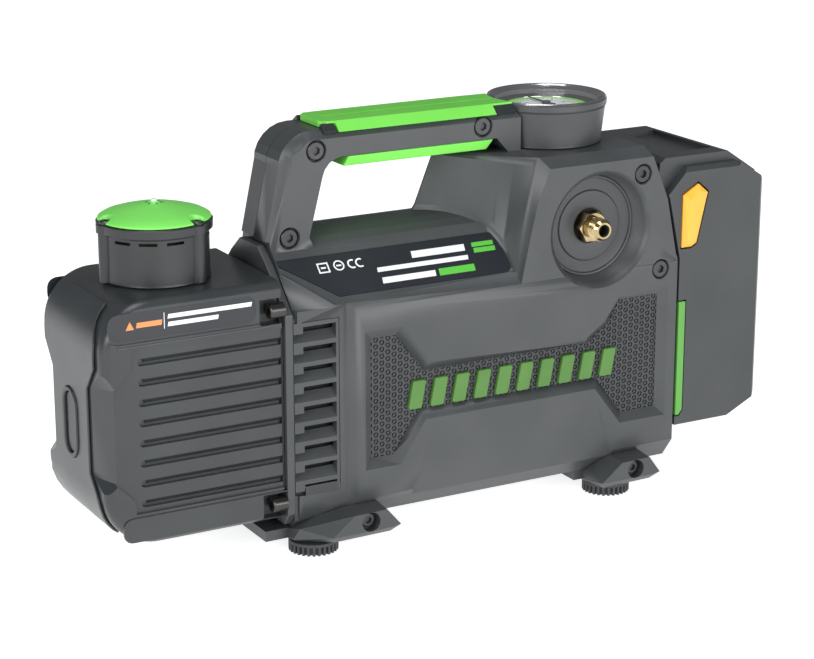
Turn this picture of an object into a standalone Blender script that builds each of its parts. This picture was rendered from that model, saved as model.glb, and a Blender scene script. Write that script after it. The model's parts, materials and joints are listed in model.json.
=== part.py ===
"""Cordless refrigeration vacuum pump: an oil-filled rotary vane pump, its motor, gauge and battery.

The numbers below are millimetres; every mesh is scaled to metres as it is made.
+X runs from the oil tank to the battery, -Y is the side with the flare fitting, +Z is up.
The origin is on the ground, under the middle of the pump.
"""

import math

import bmesh
import bpy
from mathutils import Matrix, Vector

MM = 0.001
GAP = 0.3  # clearance between two pieces that touch

# Housing
HALF_WIDTH = 41.8
BODY_LEFT = -85.4
BODY_RIGHT = 127.6
BODY_BOTTOM = 12.0
SHOULDER = 116.8  # top of the flat side face
SLOPE_IN = 19.0  # where the 45 degree deck slope ends
DECK_CROWN = 10.0  # rise of the rounded deck above the slope
BLOCK_TOP = 176.8
BLOCK_CHAMFER = 5.0
VENT_FACE = 38.0
WALL_INSIDE = 33.0
GRILLE_LEFT, GRILLE_RIGHT = -80.6, -61.9
GRILLE_LOW, GRILLE_HIGH = 28.3, 112.9
GRILLE_THICK = 4.5
SLOTS = 9
SLOT_PITCH = 9.66
SLOT_HEIGHT = 2.4

# Handle
GRIP_HALF = 17.0
GRIP_LOW = 184.0
GRIP_HIGH = 197.0

# Side port recess, gauge, tank cap
PORT_X, PORT_Z = 81.2, 138.2
PORT_RADIUS = 29.5
PORT_DEPTH = 12.0
GAUGE_X = 74.6
GAUGE_RADIUS = 30.0
GAUGE_TOP = 199.6
CAP_X = -136.6
CAP_RADIUS = 26.7
CUP_RADIUS = 25.0

# Oil tank
TANK_LEFT = -179.6
TANK_RIGHT = -91.2
TANK_HALF = 38.0
TANK_BOTTOM = 18.0
TANK_TOP = 134.0
FIELD_DEPTH = 1.5
GROOVE_PITCH = 9.59
GROOVES = 8

# Drive line
AXIS_Z = 70.0
SHAFT_RADIUS = 3.0
ROTOR_RADIUS = 16.5
BORE_RADIUS = 20.0

# Battery
BATTERY_BOTTOM = 29.6
BATTERY_TOP = 168.6

# Feet
FOOT_RADIUS = 12.0
FOOT_Y = 36.0
FOOT_LEFT_X = -75.4
FOOT_RIGHT_X = 91.3
FOOT_HEIGHT = 6.3

# Side panel outline in X and Z: the rim at the face, and the floor at the bottom of its sloped walls
PANEL_RIM = [(-50, 105), (-30, 105), (-14.6, 85.2), (74.6, 85.2), (84.4, 91.7), (92, 104.8), (122.4, 104.8),
             (122.4, 36.5), (95, 36.5), (79.5, 56.8), (-17, 56.8), (-31, 36.5), (-50, 36.5)]
PANEL_DEPTH = 3.3
PANEL_WALL_RUN = 4.6

# Raised chevrons on the side panel
CHEVRONS = 7
CHEVRON_PITCH = 17.6
CHEVRON_STROKE = 4.8
CHEVRON_REACH = 8.0
EMBLEM_LEFT = -26.0
EMBLEM_Z = 69.3
EMBLEM_HALF = 7.4
SPINE_HALF = 1.3

MATERIALS = {
    "body_grey": ((0.105, 0.115, 0.120), 0.48, 0.0),
    "dark_grey": ((0.030, 0.036, 0.040), 0.50, 0.0),
    "label_film": ((0.028, 0.033, 0.045), 0.35, 0.0),
    "green": ((0.13, 0.62, 0.05), 0.42, 0.0),
    "orange": ((1.0, 0.48, 0.06), 0.40, 0.0),
    "rubber": ((0.025, 0.026, 0.028), 0.80, 0.0),
    "brass": ((0.62, 0.45, 0.22), 0.28, 1.0),
    "steel": ((0.45, 0.46, 0.47), 0.30, 1.0),
    "aluminium": ((0.55, 0.56, 0.57), 0.42, 1.0),
    "cast_iron": ((0.16, 0.16, 0.17), 0.55, 0.9),
    "copper": ((0.60, 0.28, 0.14), 0.35, 1.0),
    "clear": ((0.75, 0.80, 0.80), 0.08, 0.0),
    "dial_white": ((0.85, 0.88, 0.85), 0.45, 0.0),
    "black": ((0.012, 0.012, 0.014), 0.45, 0.0),
    "board": ((0.02, 0.16, 0.06), 0.45, 0.0),
    "felt": ((0.55, 0.52, 0.44), 0.90, 0.0),
}


def clear_scene():
    for obj in list(bpy.data.objects):
        bpy.data.objects.remove(obj, do_unlink=True)


def material(name):
    """The named material, made on first use."""
    found = bpy.data.materials.get(name)
    if found:
        return found
    color, roughness, metallic = MATERIALS[name]
    made = bpy.data.materials.new(name)
    made.use_nodes = True
    shader = made.node_tree.nodes["Principled BSDF"]
    shader.inputs["Base Color"].default_value = (*color, 1.0)
    shader.inputs["Roughness"].default_value = roughness
    shader.inputs["Metallic"].default_value = metallic
    made.diffuse_color = (*color, 1.0)
    return made


# Mesh makers: each returns a bmesh in millimetres


def prism(outline, axis, low, high):
    """An outline of two coordinates, extruded along the third axis."""
    bm = bmesh.new()

    def place(u, v, along):
        return {"x": (along, u, v), "y": (u, along, v), "z": (u, v, along)}[axis]

    near = [bm.verts.new(place(u, v, low)) for u, v in outline]
    far = [bm.verts.new(place(u, v, high)) for u, v in outline]
    bm.faces.new(near)
    bm.faces.new(far)
    for i in range(len(outline)):
        j = (i + 1) % len(outline)
        bm.faces.new((near[i], near[j], far[j], far[i]))
    bmesh.ops.recalc_face_normals(bm, faces=bm.faces)
    return bm


def loft(first, second):
    """A solid between two closed rings of points, one point of each ring joined to its partner."""
    bm = bmesh.new()
    near = [bm.verts.new(point) for point in first]
    far = [bm.verts.new(point) for point in second]
    bm.faces.new(near)
    bm.faces.new(far)
    for i in range(len(near)):
        j = (i + 1) % len(near)
        bm.faces.new((near[i], near[j], far[j], far[i]))
    bmesh.ops.recalc_face_normals(bm, faces=bm.faces)
    return bm


def box(low, high):
    corners = [(low[0], low[1]), (high[0], low[1]), (high[0], high[1]), (low[0], high[1])]
    return prism(corners, "z", low[2], high[2])


def hull(points):
    """The convex solid around a set of points."""
    bm = bmesh.new()
    for point in points:
        bm.verts.new(point)
    result = bmesh.ops.convex_hull(bm, input=bm.verts)
    inside = [v for v in result["geom_interior"] if isinstance(v, bmesh.types.BMVert)]
    bmesh.ops.delete(bm, geom=inside, context="VERTS")
    bmesh.ops.recalc_face_normals(bm, faces=bm.faces)
    return bm


def turned(profile, axis, centre, steps=32):
    """A closed profile of (radius, height) points turned about an axis through the centre."""
    bm = bmesh.new()
    frame = {"x": ((0, 1, 0), (0, 0, 1), (1, 0, 0)), "y": ((0, 0, 1), (1, 0, 0), (0, 1, 0)),
             "z": ((1, 0, 0), (0, 1, 0), (0, 0, 1))}[axis]
    across, up, along = (Vector(v) for v in frame)
    centre = Vector(centre)

    def ring(radius, height):
        if radius == 0:
            return [bm.verts.new(centre + along * height)] * steps
        turns = [2 * math.pi * k / steps for k in range(steps)]
        return [bm.verts.new(centre + along * height + radius * (across * math.cos(t) + up * math.sin(t)))
                for t in turns]

    rings = [ring(radius, height) for radius, height in profile]
    for i, lower in enumerate(rings):
        upper = rings[(i + 1) % len(rings)]
        for k in range(steps):
            corners = [lower[k], lower[(k + 1) % steps], upper[(k + 1) % steps], upper[k]]
            corners = list(dict.fromkeys(corners))
            if len(corners) > 2:
                bm.faces.new(corners)
    bmesh.ops.recalc_face_normals(bm, faces=bm.faces)
    return bm


def rod(axis, centre, radius, low, high, steps=24):
    u, v = {"x": (1, 2), "y": (0, 2), "z": (0, 1)}[axis]
    circle = arc(centre[u], centre[v], radius, 0, 360 - 360 / steps, steps - 1)
    return prism(circle, axis, low, high)


def tube(axis, centre, inner, outer, low, high, steps=32):
    return turned([(inner, low), (outer, low), (outer, high), (inner, high)], axis, centre, steps)


def merged(*parts):
    """One bmesh that holds several separate closed bodies, for a cutter."""
    whole = bmesh.new()
    for part in parts:
        mesh = bpy.data.meshes.new("part")
        part.to_mesh(mesh)
        whole.from_mesh(mesh)
        bpy.data.meshes.remove(mesh)
    return whole


def rounded(outline, radius, steps=4):
    """The outline with its convex and concave corners turned into arcs of up to one radius."""
    result = []
    for i, point in enumerate(outline):
        here, before, after = Vector(point), Vector(outline[i - 1]), Vector(outline[(i + 1) % len(outline)])
        back, ahead = (before - here).normalized(), (after - here).normalized()
        half = back.angle(ahead) / 2
        reach = min(radius / math.tan(half), (before - here).length * 0.48, (after - here).length * 0.48)
        for k in range(steps + 1):
            t = k / steps
            a, b = here + back * reach, here + ahead * reach
            result.append(tuple(a * (1 - t) ** 2 + here * 2 * t * (1 - t) + b * t**2))
    return result


def inset(outline, run):
    """The outline with each edge moved inwards by the run."""
    area = sum(a[0] * b[1] - b[0] * a[1] for a, b in zip(outline, outline[1:] + outline[:1]))
    turn = 1 if area > 0 else -1
    result = []
    for i, point in enumerate(outline):
        here, before, after = Vector(point), Vector(outline[i - 1]), Vector(outline[(i + 1) % len(outline)])
        first, second = (here - before).normalized(), (after - here).normalized()
        normal_1, normal_2 = Vector((-first.y, first.x)) * turn, Vector((-second.y, second.x)) * turn
        bisector = (normal_1 + normal_2) / (1 + normal_1.dot(normal_2))
        result.append(tuple(here + bisector * run))
    return result


# Objects


def piece(name, bm, look, origin=(0, 0, 0), sharp=40):
    """A named solid, with its origin at a point given in millimetres."""
    bmesh.ops.translate(bm, verts=bm.verts, vec=-Vector(origin))
    bmesh.ops.scale(bm, verts=bm.verts, vec=(MM, MM, MM))
    mesh = bpy.data.meshes.new(name)
    bm.to_mesh(mesh)
    bm.free()
    mesh.shade_smooth()
    mesh.set_sharp_from_angle(angle=math.radians(sharp))
    obj = bpy.data.objects.new(name, mesh)
    obj.location = Vector(origin) * MM
    bpy.context.scene.collection.objects.link(obj)
    obj.data.materials.append(material(look))
    return obj


def change(obj, bm, operation):
    """A Boolean with a hidden helper solid."""
    helper = piece(f"{obj.name}_{operation.lower()}_{len(obj.modifiers)}", bm, "black")
    helper.hide_render = True
    helper.display_type = "WIRE"
    boolean = obj.modifiers.new(operation.title(), "BOOLEAN")
    boolean.operation = operation
    boolean.solver = "EXACT"
    boolean.object = helper


def cut(obj, bm):
    change(obj, bm, "DIFFERENCE")


def add(obj, bm):
    change(obj, bm, "UNION")


# Housing


def deck_height(y):
    """Height of the deck over the rounded middle, where |y| is under SLOPE_IN."""
    slope_top = SHOULDER + HALF_WIDTH - SLOPE_IN
    return slope_top + DECK_CROWN * (1 - (y / SLOPE_IN) ** 2)


def deck_section(side, grow=0.0):
    """Half section in Y and Z from the mid-plane out to one side."""
    crown = [(side * SLOPE_IN * k / 5, deck_height(SLOPE_IN * k / 5) + grow) for k in range(1, 6)]
    return [(side * 0.15, BODY_BOTTOM - grow), (side * 34, BODY_BOTTOM - grow),
            (side * (HALF_WIDTH + grow), 22.5 - grow / 2), (side * (HALF_WIDTH + grow), SHOULDER + grow / 2),
            *reversed(crown), (side * 0.15, deck_height(0) + grow)]


def block_half(side):
    """The raised block behind the hand gap: its front, and a wedge that narrows to a bow at the mid-plane."""
    chamfer = HALF_WIDTH - BLOCK_CHAMFER
    outer = [(35.5, 117), (37.3, 124.5), (40.9, 142), (44.2, 155.2), (51, BLOCK_TOP - BLOCK_CHAMFER),
             (111, BLOCK_TOP - BLOCK_CHAMFER), (120.3, 149.6), (126.5, 119.6), (127.6, 117)]
    crest = [(45.7, side * chamfer, 172.8), (47.5, side * chamfer, BLOCK_TOP)]
    points = [(x, side * HALF_WIDTH, z) for x, z in outer] + crest
    points += [(108, side * chamfer, BLOCK_TOP), (34.6, side * chamfer, 120.5), (34.0, side * 20.5, 135)]
    points += [(40, side * 0.15, 130), (44, side * 0.15, BLOCK_TOP), (108, side * 0.15, BLOCK_TOP)]
    points += [(120.3, side * 0.15, 149.6), (127.6, side * 0.15, 117)]
    heel, brow = (34.0, side * 20.5, 135), (9.5, side * 0.15, BLOCK_TOP - 1)
    core = [(60, side * 0.15, 135), (60, side * 0.15, BLOCK_TOP), (60, side * 20.5, 135)]
    bow = [(-1, side * 0.15, 147), (-2, side * 0.15, 143), brow, (11, side * 0.15, BLOCK_TOP), heel] + core
    flank = [brow, (11, side * 0.15, BLOCK_TOP), heel, (60, side * chamfer, BLOCK_TOP)] + crest + core
    return hull(points), hull(bow), hull(flank)


def handle_half(side):
    """Leg and bar of the carrying handle, down to the deck and along to the gauge."""
    outer = [(-88.5, 139), (-79.6, 181)] + arc(-62.5, 179.5, 17.5, 165, 90, 5) + [(52, GRIP_HIGH)]
    inner = [(52, 172), (43, 176), (36, GRIP_LOW)] + arc(-48, 173, 11, 90, 170, 4) + [(-66, 147), (-61, 136)]
    outline = outer + inner
    bm = prism(outline, "y", side * 0.15, side * GRIP_HALF)
    rim = []
    for edge in bm.edges:
        ends = [v.co for v in edge.verts]
        on_face = all(abs(v.y - side * GRIP_HALF) < 0.01 for v in ends)
        outside = all(any(abs(v.x - x) + abs(v.z - z) < 0.01 for x, z in outer) for v in ends)
        if on_face and outside:
            rim.append(edge)
    bmesh.ops.bevel(bm, geom=rim, offset=4.0, segments=1, affect="EDGES")
    return bm


def arc(cx, cz, radius, start, end, steps):
    turns = [math.radians(start + (end - start) * k / steps) for k in range(steps + 1)]
    return [(cx + radius * math.cos(t), cz + radius * math.sin(t)) for t in turns]


def housing_half(name, side, port):
    """One clamshell half with its half of the handle. port adds the opening in its round recess."""
    inner_face = side * WALL_INSIDE
    housing = piece(name, prism(deck_section(side), "x", BODY_LEFT, BODY_RIGHT), "body_grey", sharp=30)
    for wedge in block_half(side):
        add(housing, wedge)
    add(housing, handle_half(side))
    # The battery side leans back above the shoulder, and the bottom corner is cut off
    beyond = [(BODY_RIGHT, 5), (BODY_RIGHT, 119), (126.5, 120), (120.3, 149.6), (112.5, 171), (107, 190),
              (150, 190), (150, 5)]
    cut(housing, prism(beyond, "y", side * -3, side * 60))
    cut(housing, box(*ordered((-95, side * -3, 100), (BODY_LEFT, side * 30, 146.5))))
    # Space inside for the motor, and for the gauge pipe in the raised block
    motor_space = [(BODY_LEFT - 5, 17), (124, 17), (124, 112), (BODY_LEFT - 5, 112)]
    cut(housing, prism(motor_space, "y", side * -3, inner_face))
    cut(housing, prism([(44, 111), (118, 111), (116, 150), (107, 171), (52, 171), (44, 150)], "y", side * -3,
                       side * 26))
    # The vent bay is set back, with a sloped step to the side face and a groove by the flange
    bay = [(-95, 36.8), (-83.4, 36.8), (-83.4, VENT_FACE), (-58.3, VENT_FACE), (-54.5, 41.81), (-54.5, 60),
           (-95, 60)]
    cut(housing, prism([(x, side * y) for x, y in bay], "z", 0, 119.5))
    cut(housing, box(*ordered((GRILLE_LEFT - GAP, side * 25, GRILLE_LOW - GAP),
                              (GRILLE_RIGHT + GAP, side * 60, GRILLE_HIGH + GAP))))
    # A shallow facet left of the deck's diagonal rib
    cut(housing, deck_prism([(-59, 0), (-84, 24), (-95, 24), (-95, 0)], side, -1.6, 6))
    # Seat for the deck label, on the 45 degree slope
    cut(housing, deck_prism(label_outline(GAP), side, -0.6, 6))
    # Side panel recess: sloped walls, then a straight pocket for the panel
    floor = inset(PANEL_RIM, PANEL_WALL_RUN)
    face, deep = side * (HALF_WIDTH + 0.5), side * (HALF_WIDTH - PANEL_DEPTH)
    cut(housing, loft([(x, face, z) for x, z in inset(PANEL_RIM, -0.7)], [(x, deep, z) for x, z in floor]))
    cut(housing, prism(floor, "y", deep + side * 0.5, side * (HALF_WIDTH - 5.2)))
    # Below the panel, the face leans in towards the bottom
    wedge = [(-15.1, 46.8), (82, 46.8), (95, 21), (-28, 21)]
    cut(housing, hull([(x, side * 50, z) for x, z in wedge] + [(x, side * 50, 10) for x in (-28, 95)]
                      + [(-15.1, side * 41.8, 46.8), (82, side * 41.8, 46.8), (-27, side * 38.6, 10),
                         (94, side * 38.6, 10)]))
    # Round recess with a bevelled rim
    depth = HALF_WIDTH - PORT_DEPTH
    opening = 8.6 if port else 11.3
    recess = turned([(0, 20), (opening, 20), (opening, depth), (25.4, depth), (27.0, HALF_WIDTH - 2.2),
                     (PORT_RADIUS, HALF_WIDTH), (PORT_RADIUS + 1, 50), (0, 50)], "y", (PORT_X, 0, PORT_Z), 48)
    if side < 0:
        bmesh.ops.scale(recess, verts=recess.verts, vec=(1, -1, 1))
        bmesh.ops.reverse_faces(recess, faces=recess.faces)
    cut(housing, recess)
    # Room for the gauge cup, and for the top grip's skirts
    cut(housing, rod("z", (GAUGE_X, 0, 0), GAUGE_RADIUS + 0.4, BLOCK_TOP + 0.02, 220, 48))
    cut(housing, prism([(side * 11.0, 205), (side * 11.0, 197.05), (side * 14.2, 195.4), (side * 25, 195.4),
                        (side * 25, 205)], "x", -50.4, 36))
    # Window to the battery contacts
    cut(housing, box(*ordered((120, side * -3, 60), (135, side * 14, 100))))
    return housing


def ordered(a, b):
    """The low corner and the high corner of the box between two points."""
    return tuple(map(min, a, b)), tuple(map(max, a, b))


def deck_prism(outline, side, low, high):
    """An outline laid on the deck slope as (x, distance up the slope), from low to high above the surface."""
    def place(x, up, above):
        step = math.sqrt(0.5)
        return (x, side * (HALF_WIDTH - (up - above) * step), SHOULDER + (up + above) * step)

    return loft([place(x, up, low) for x, up in outline], [place(x, up, high) for x, up in outline])


def label_outline(grow=0.0):
    return inset([(-60.2, 8), (31.5, 8), (34.2, 10.8), (33.2, 30.6), (-84.6, 30.6), (-84.6, 27.8)], -grow)


def vent_grille(name, side):
    """Nine slots between slats, in a frame that fills the window of the vent bay."""
    face = side * VENT_FACE
    back = face - side * GRILLE_THICK
    plate = box(*ordered((GRILLE_LEFT, back, GRILLE_LOW), (GRILLE_RIGHT, face, GRILLE_HIGH)))
    grille = piece(name, plate, "body_grey")
    slots = []
    for k in range(SLOTS):
        bottom = GRILLE_LOW + 2.7 + SLOT_PITCH * k
        slots.append(box(*ordered((GRILLE_LEFT + 1.2, side * 30, bottom),
                                  (GRILLE_RIGHT - 1.5, side * 45, bottom + SLOT_HEIGHT))))
    cut(grille, merged(*slots))
    return grille


def texture_panel(name, side):
    outline = inset(PANEL_RIM, PANEL_WALL_RUN + GAP)
    deep = HALF_WIDTH - PANEL_DEPTH
    return piece(name, prism(outline, "y", side * (deep - 1.3), side * deep), "dark_grey")


def emblem(name, side):
    """A raised row of chevrons on a thin spine, across the middle of the panel."""
    upper = []
    for k in range(CHEVRONS):
        left = EMBLEM_LEFT + CHEVRON_PITCH * k
        slant = CHEVRON_REACH * (1 - SPINE_HALF / EMBLEM_HALF)
        upper += [(left + slant, SPINE_HALF), (left, EMBLEM_HALF), (left + CHEVRON_STROKE, EMBLEM_HALF),
                  (left + CHEVRON_STROKE + slant, SPINE_HALF)]
    tip = [(left + CHEVRON_STROKE + CHEVRON_REACH, 0)]
    lower = [(x, -z) for x, z in reversed(upper)]
    outline = [(x, EMBLEM_Z + z) for x, z in upper + tip + lower]
    deep = HALF_WIDTH - PANEL_DEPTH + GAP
    return piece(name, prism(outline, "y", side * deep, side * (deep + 2.0)), "green")


def deck_label(name, side):
    return piece(name, deck_prism(label_outline(), side, -GAP, 0.3), "label_film")


# Handle grips


def grip_top():
    """Saddle over the bar: a flat strip with a skirt down each side."""
    section = [(-17.5, 195.7), (-12.6, 200.2), (12.6, 200.2), (17.5, 195.7), (14.7, 195.7), (11.4, 197.35),
               (-11.4, 197.35), (-14.7, 195.7)]
    grip = piece("grip_top", prism(section, "x", -50, 35.5), "green")
    plate = [(-57, -9), (-54, -12.5), (56, -12.5), (56, 12.5), (-54, 12.5), (-57, 9)]
    add(grip, prism(plate, "z", 197.35, 200.15))
    cut(grip, rod("z", (GAUGE_X, 0, 0), GAUGE_RADIUS + 0.4, 190, 210, 48))
    return grip


def grip_lower():
    top, bottom = GRIP_LOW - GAP, 178.7
    upper = [(-45, -17.2, top), (34, -17.2, top), (34, 17.2, top), (-45, 17.2, top)]
    lower = [(-47, -15.4, bottom), (31, -15.4, bottom), (31, 15.4, bottom), (-47, 15.4, bottom)]
    return piece("grip_lower", loft(upper, lower), "green")


# Gauge


def gauge():
    """Cup, bezel, dial, needle and lens, all about one upright axis."""
    centre = (GAUGE_X, 0, 0)
    cup = [(22, 177.1), (27.3, 177.1), (29.6, 191.5), (GAUGE_RADIUS, 192.5), (GAUGE_RADIUS, 195.2),
           (26.6, 195.2), (26.6, 188), (22, 188)]
    piece("gauge_cup", turned(cup, "z", centre, 32), "body_grey")
    bezel = [(28.2, GAUGE_TOP), (25.9, 198.2), (25.9, 195.5), (29.9, 195.5), (29.9, 198.2)]
    piece("gauge_bezel", turned(bezel, "z", centre, 32), "steel")
    dial = [(2.0, 192.2), (26.2, 192.2), (26.2, 193.2), (20.5, 194.4), (2.0, 194.4)]
    piece("gauge_dial", turned(dial, "z", centre, 32), "dial_white")
    piece("gauge_lens", rod("z", centre, 25.5, 196.9, 197.9, 32), "clear")
    # The needle's hub goes down through the dial
    hub = [(0, 190), (1.4, 190), (1.4, 194.8), (2.6, 194.8), (2.6, 196.1), (0, 196.1)]
    needle = piece("gauge_needle", turned(hub, "z", centre, 16), "black", origin=(GAUGE_X, 0, 195.2))
    add(needle, prism([(GAUGE_X - 1.1, -1), (GAUGE_X - 1.6, -6), (GAUGE_X + 1.6, -6), (GAUGE_X + 1.1, -1),
                       (GAUGE_X + 0.3, 16.5), (GAUGE_X - 0.3, 16.5)], "z", 195.0, 195.7))


def inlet():
    """Flare fitting in the round recess, and the pipe from it to the gauge and down to the pump."""
    front = -HALF_WIDTH - 2.4
    where = (PORT_X, 0, PORT_Z)
    hexagon = [(PORT_X + 8.0 * math.cos(math.radians(60 * k)), PORT_Z + 8.0 * math.sin(math.radians(60 * k)))
               for k in range(6)]
    fitting = piece("inlet_fitting", prism(hexagon, "y", -33.6, -28.0), "brass")
    add(fitting, turned([(0, -31), (5.0, -31), (5.0, front + 8), (5.6, front + 7.4), (5.6, front + 2.2),
                         (4.1, front), (0, front)], "y", where, 24))
    add(fitting, rod("y", where, 6.0, -29.0, -22.0))
    cut(fitting, rod("y", where, 2.9, -60, -20))
    block = box((PORT_X - 10, -21.6, PORT_Z - 9), (PORT_X + 10, 8, PORT_Z + 9))
    manifold = piece("inlet_manifold", block, "aluminium")
    cut(manifold, rod("y", where, 3.0, -30, -5))
    cut(manifold, rod("z", (PORT_X, -6, 0), 3.0, 100, PORT_Z + 2))


# Oil tank


def tank_outline():
    left, right, low, high = TANK_LEFT, TANK_RIGHT, TANK_BOTTOM, TANK_TOP
    return (arc(left + 24, high - 24, 24, 180, 90, 5) + [(right, high), (right, low)]
            + arc(left + 26, low + 26, 26, 270, 180, 5))


def oil_tank():
    outline = tank_outline()
    bm = prism(outline, "y", -TANK_HALF, TANK_HALF)
    rim = [edge for edge in bm.edges
           if all(abs(abs(v.co.y) - TANK_HALF) < 0.01 for v in edge.verts)
           and not all(abs(v.co.x - TANK_RIGHT) < 0.01 for v in edge.verts)
           and edge.verts[0].co.y * edge.verts[1].co.y > 0]
    bmesh.ops.bevel(bm, geom=rim, offset=6.0, segments=2, affect="EDGES", profile=0.5)
    tank = piece("oil_tank", bm, "body_grey", sharp=30)
    space = [(-174, 42), (-168, 30), (-156, 24), (TANK_RIGHT + 5, 24), (TANK_RIGHT + 5, 128.5), (-157, 128.5),
             (-168, 123), (-174, 112)]
    cut(tank, prism(space, "y", -34, 34))
    for side in (-1, 1):
        # Ribbed field, framed by a proud border with slanted corners at the left
        field = [(-175, 50), (-166, 41), (-165.6, 34.2), (-80, 34.2), (-80, 112), (-165.2, 112),
                 (-166.4, 103), (-175, 94)]
        cut(tank, prism(field, "y", side * (TANK_HALF - FIELD_DEPTH), side * 50))
        face, deep = TANK_HALF - FIELD_DEPTH, TANK_HALF - FIELD_DEPTH - 1.9
        grooves = []
        for k in range(GROOVES):
            ledge = 36.6 + GROOVE_PITCH * k
            section = [(side * (face + 3), ledge), (side * deep, ledge), (side * deep, ledge + 1.6),
                       (side * (face + 0.01), ledge + 4.4), (side * (face + 3), ledge + 4.4)]
            grooves.append(prism(section, "x", -162, TANK_RIGHT + 5))
        cut(tank, merged(*grooves))
        # The corner is cut back between the slanted ends of the border
        corner = [(-190, 21, 51), (-190, 21, 93), (-180.5, 21, 93), (-180.5, 21, 51), (-173.2, 39, 94),
                  (-173.2, 39, 50), (-190, 39, 104), (-190, 39, 44), (-179.8, 36, 104), (-179.8, 36, 44)]
        cut(tank, hull([(x, side * y, z) for x, y, z in corner]))
        # Label band and the notches for the flange bolts
        cut(tank, prism(rounded([(-178, 115.4), (-60, 115.4), (-60, 130.2), (-178, 130.2)], 7.2), "y",
                        side * (TANK_HALF - 0.6), side * 50))
        notches = [box(*ordered((-102, side * 31.5, z - 6), (-80, side * 50, z + 6))) for z in (120.4, 26)]
        cut(tank, merged(*notches))
    # Holes for the cap neck and the drain plug
    cut(tank, rod("z", (CAP_X, 0, 0), 17, 120, 140, 32))
    cut(tank, rod("z", (-150, 0, 0), 6.3, 10, 30))
    # Slot behind the sight glass
    cut(tank, prism(slot_outline(6.2, 15.1), "x", -190, -170))
    return tank


def slot_outline(half_width, half_height, centre_z=70.5):
    """An upright slot with round ends, in Y and Z."""
    reach = half_height - half_width
    top = [(half_width * math.cos(math.radians(a)), centre_z + reach + half_width * math.sin(math.radians(a)))
           for a in range(0, 181, 30)]
    return top + [(-y, 2 * centre_z - z) for y, z in top]


def end_panel_stations():
    """Points up the tank's end, with the way out and the panel's half width. It has a waist at the glass."""
    widths = [(19, 20), (26, 24), (30, 35), (30, 42), (21, 52), (21, 92), (30, 103.5), (30, 116), (24, 124),
              (20, 131)]
    stations = []
    for angle in (235, 225, 215, 205, 192):
        turn = math.radians(angle)
        stations.append((TANK_LEFT + 26 + 26 * math.cos(turn), TANK_BOTTOM + 26 + 26 * math.sin(turn),
                         math.cos(turn), math.sin(turn)))
    stations += [(TANK_LEFT, z, -1, 0) for z in (44.5, 52, 92, 103.5, 109.5)]
    for angle in (168, 155, 145, 135, 125):
        turn = math.radians(angle)
        stations.append((TANK_LEFT + 24 + 24 * math.cos(turn), TANK_TOP - 24 + 24 * math.sin(turn),
                         math.cos(turn), math.sin(turn)))
    result = []
    for x, z, out_x, out_z in stations:
        for (half_1, z_1), (half_2, z_2) in zip(widths, widths[1:]):
            if z_1 <= z <= z_2:
                half = half_1 + (half_2 - half_1) * (z - z_1) / (z_2 - z_1)
        result.append((x, z, out_x, out_z, half))
    return result


def tank_trim():
    """End panel with a waist, sight glass, gasket and drain plug."""
    bm = bmesh.new()
    loops = []
    for x, z, out_x, out_z, half in end_panel_stations():
        near = (x + out_x * GAP, z + out_z * GAP)
        far = (x + out_x * (GAP + 1.2), z + out_z * (GAP + 1.2))
        corners = ((near, -half), (near, half), (far, half), (far, -half))
        loops.append([bm.verts.new((px, y, pz)) for (px, pz), y in corners])
    bm.faces.new(loops[0])
    bm.faces.new(loops[-1])
    for first, second in zip(loops, loops[1:]):
        for k in range(4):
            bm.faces.new((first[k], first[(k + 1) % 4], second[(k + 1) % 4], second[k]))
    bmesh.ops.recalc_face_normals(bm, faces=bm.faces)
    panel = piece("tank_end_panel", bm, "body_grey")
    cut(panel, prism(slot_outline(9.4, 17.3), "x", -190, -170))
    ring = piece("sight_glass_ring", prism(slot_outline(9.1, 17.0), "x", -182.0, -179.9), "dark_grey")
    cut(ring, prism(slot_outline(5.9, 14.8), "x", -190, -170))
    piece("sight_glass", prism(slot_outline(5.6, 14.5), "x", -180.9, -178.4), "clear")
    rim = [(-28, 21), (28, 21), (36, 34), (36, 112), (28, 130), (-28, 130), (-36, 112), (-36, 34)]
    gasket = piece("tank_gasket", prism(rim, "x", TANK_RIGHT + GAP, TANK_RIGHT + 1.2), "rubber")
    cut(gasket, prism(inset(rim, 4.0), "x", -95, -85))
    plug = [(0, 15.0), (4.5, 15.0), (8.0, 15.4), (8.0, 17.7), (6.0, 17.7), (6.0, 26), (0, 26)]
    piece("drain_plug", turned(plug, "z", (-150, 0, 0)), "steel")


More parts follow.
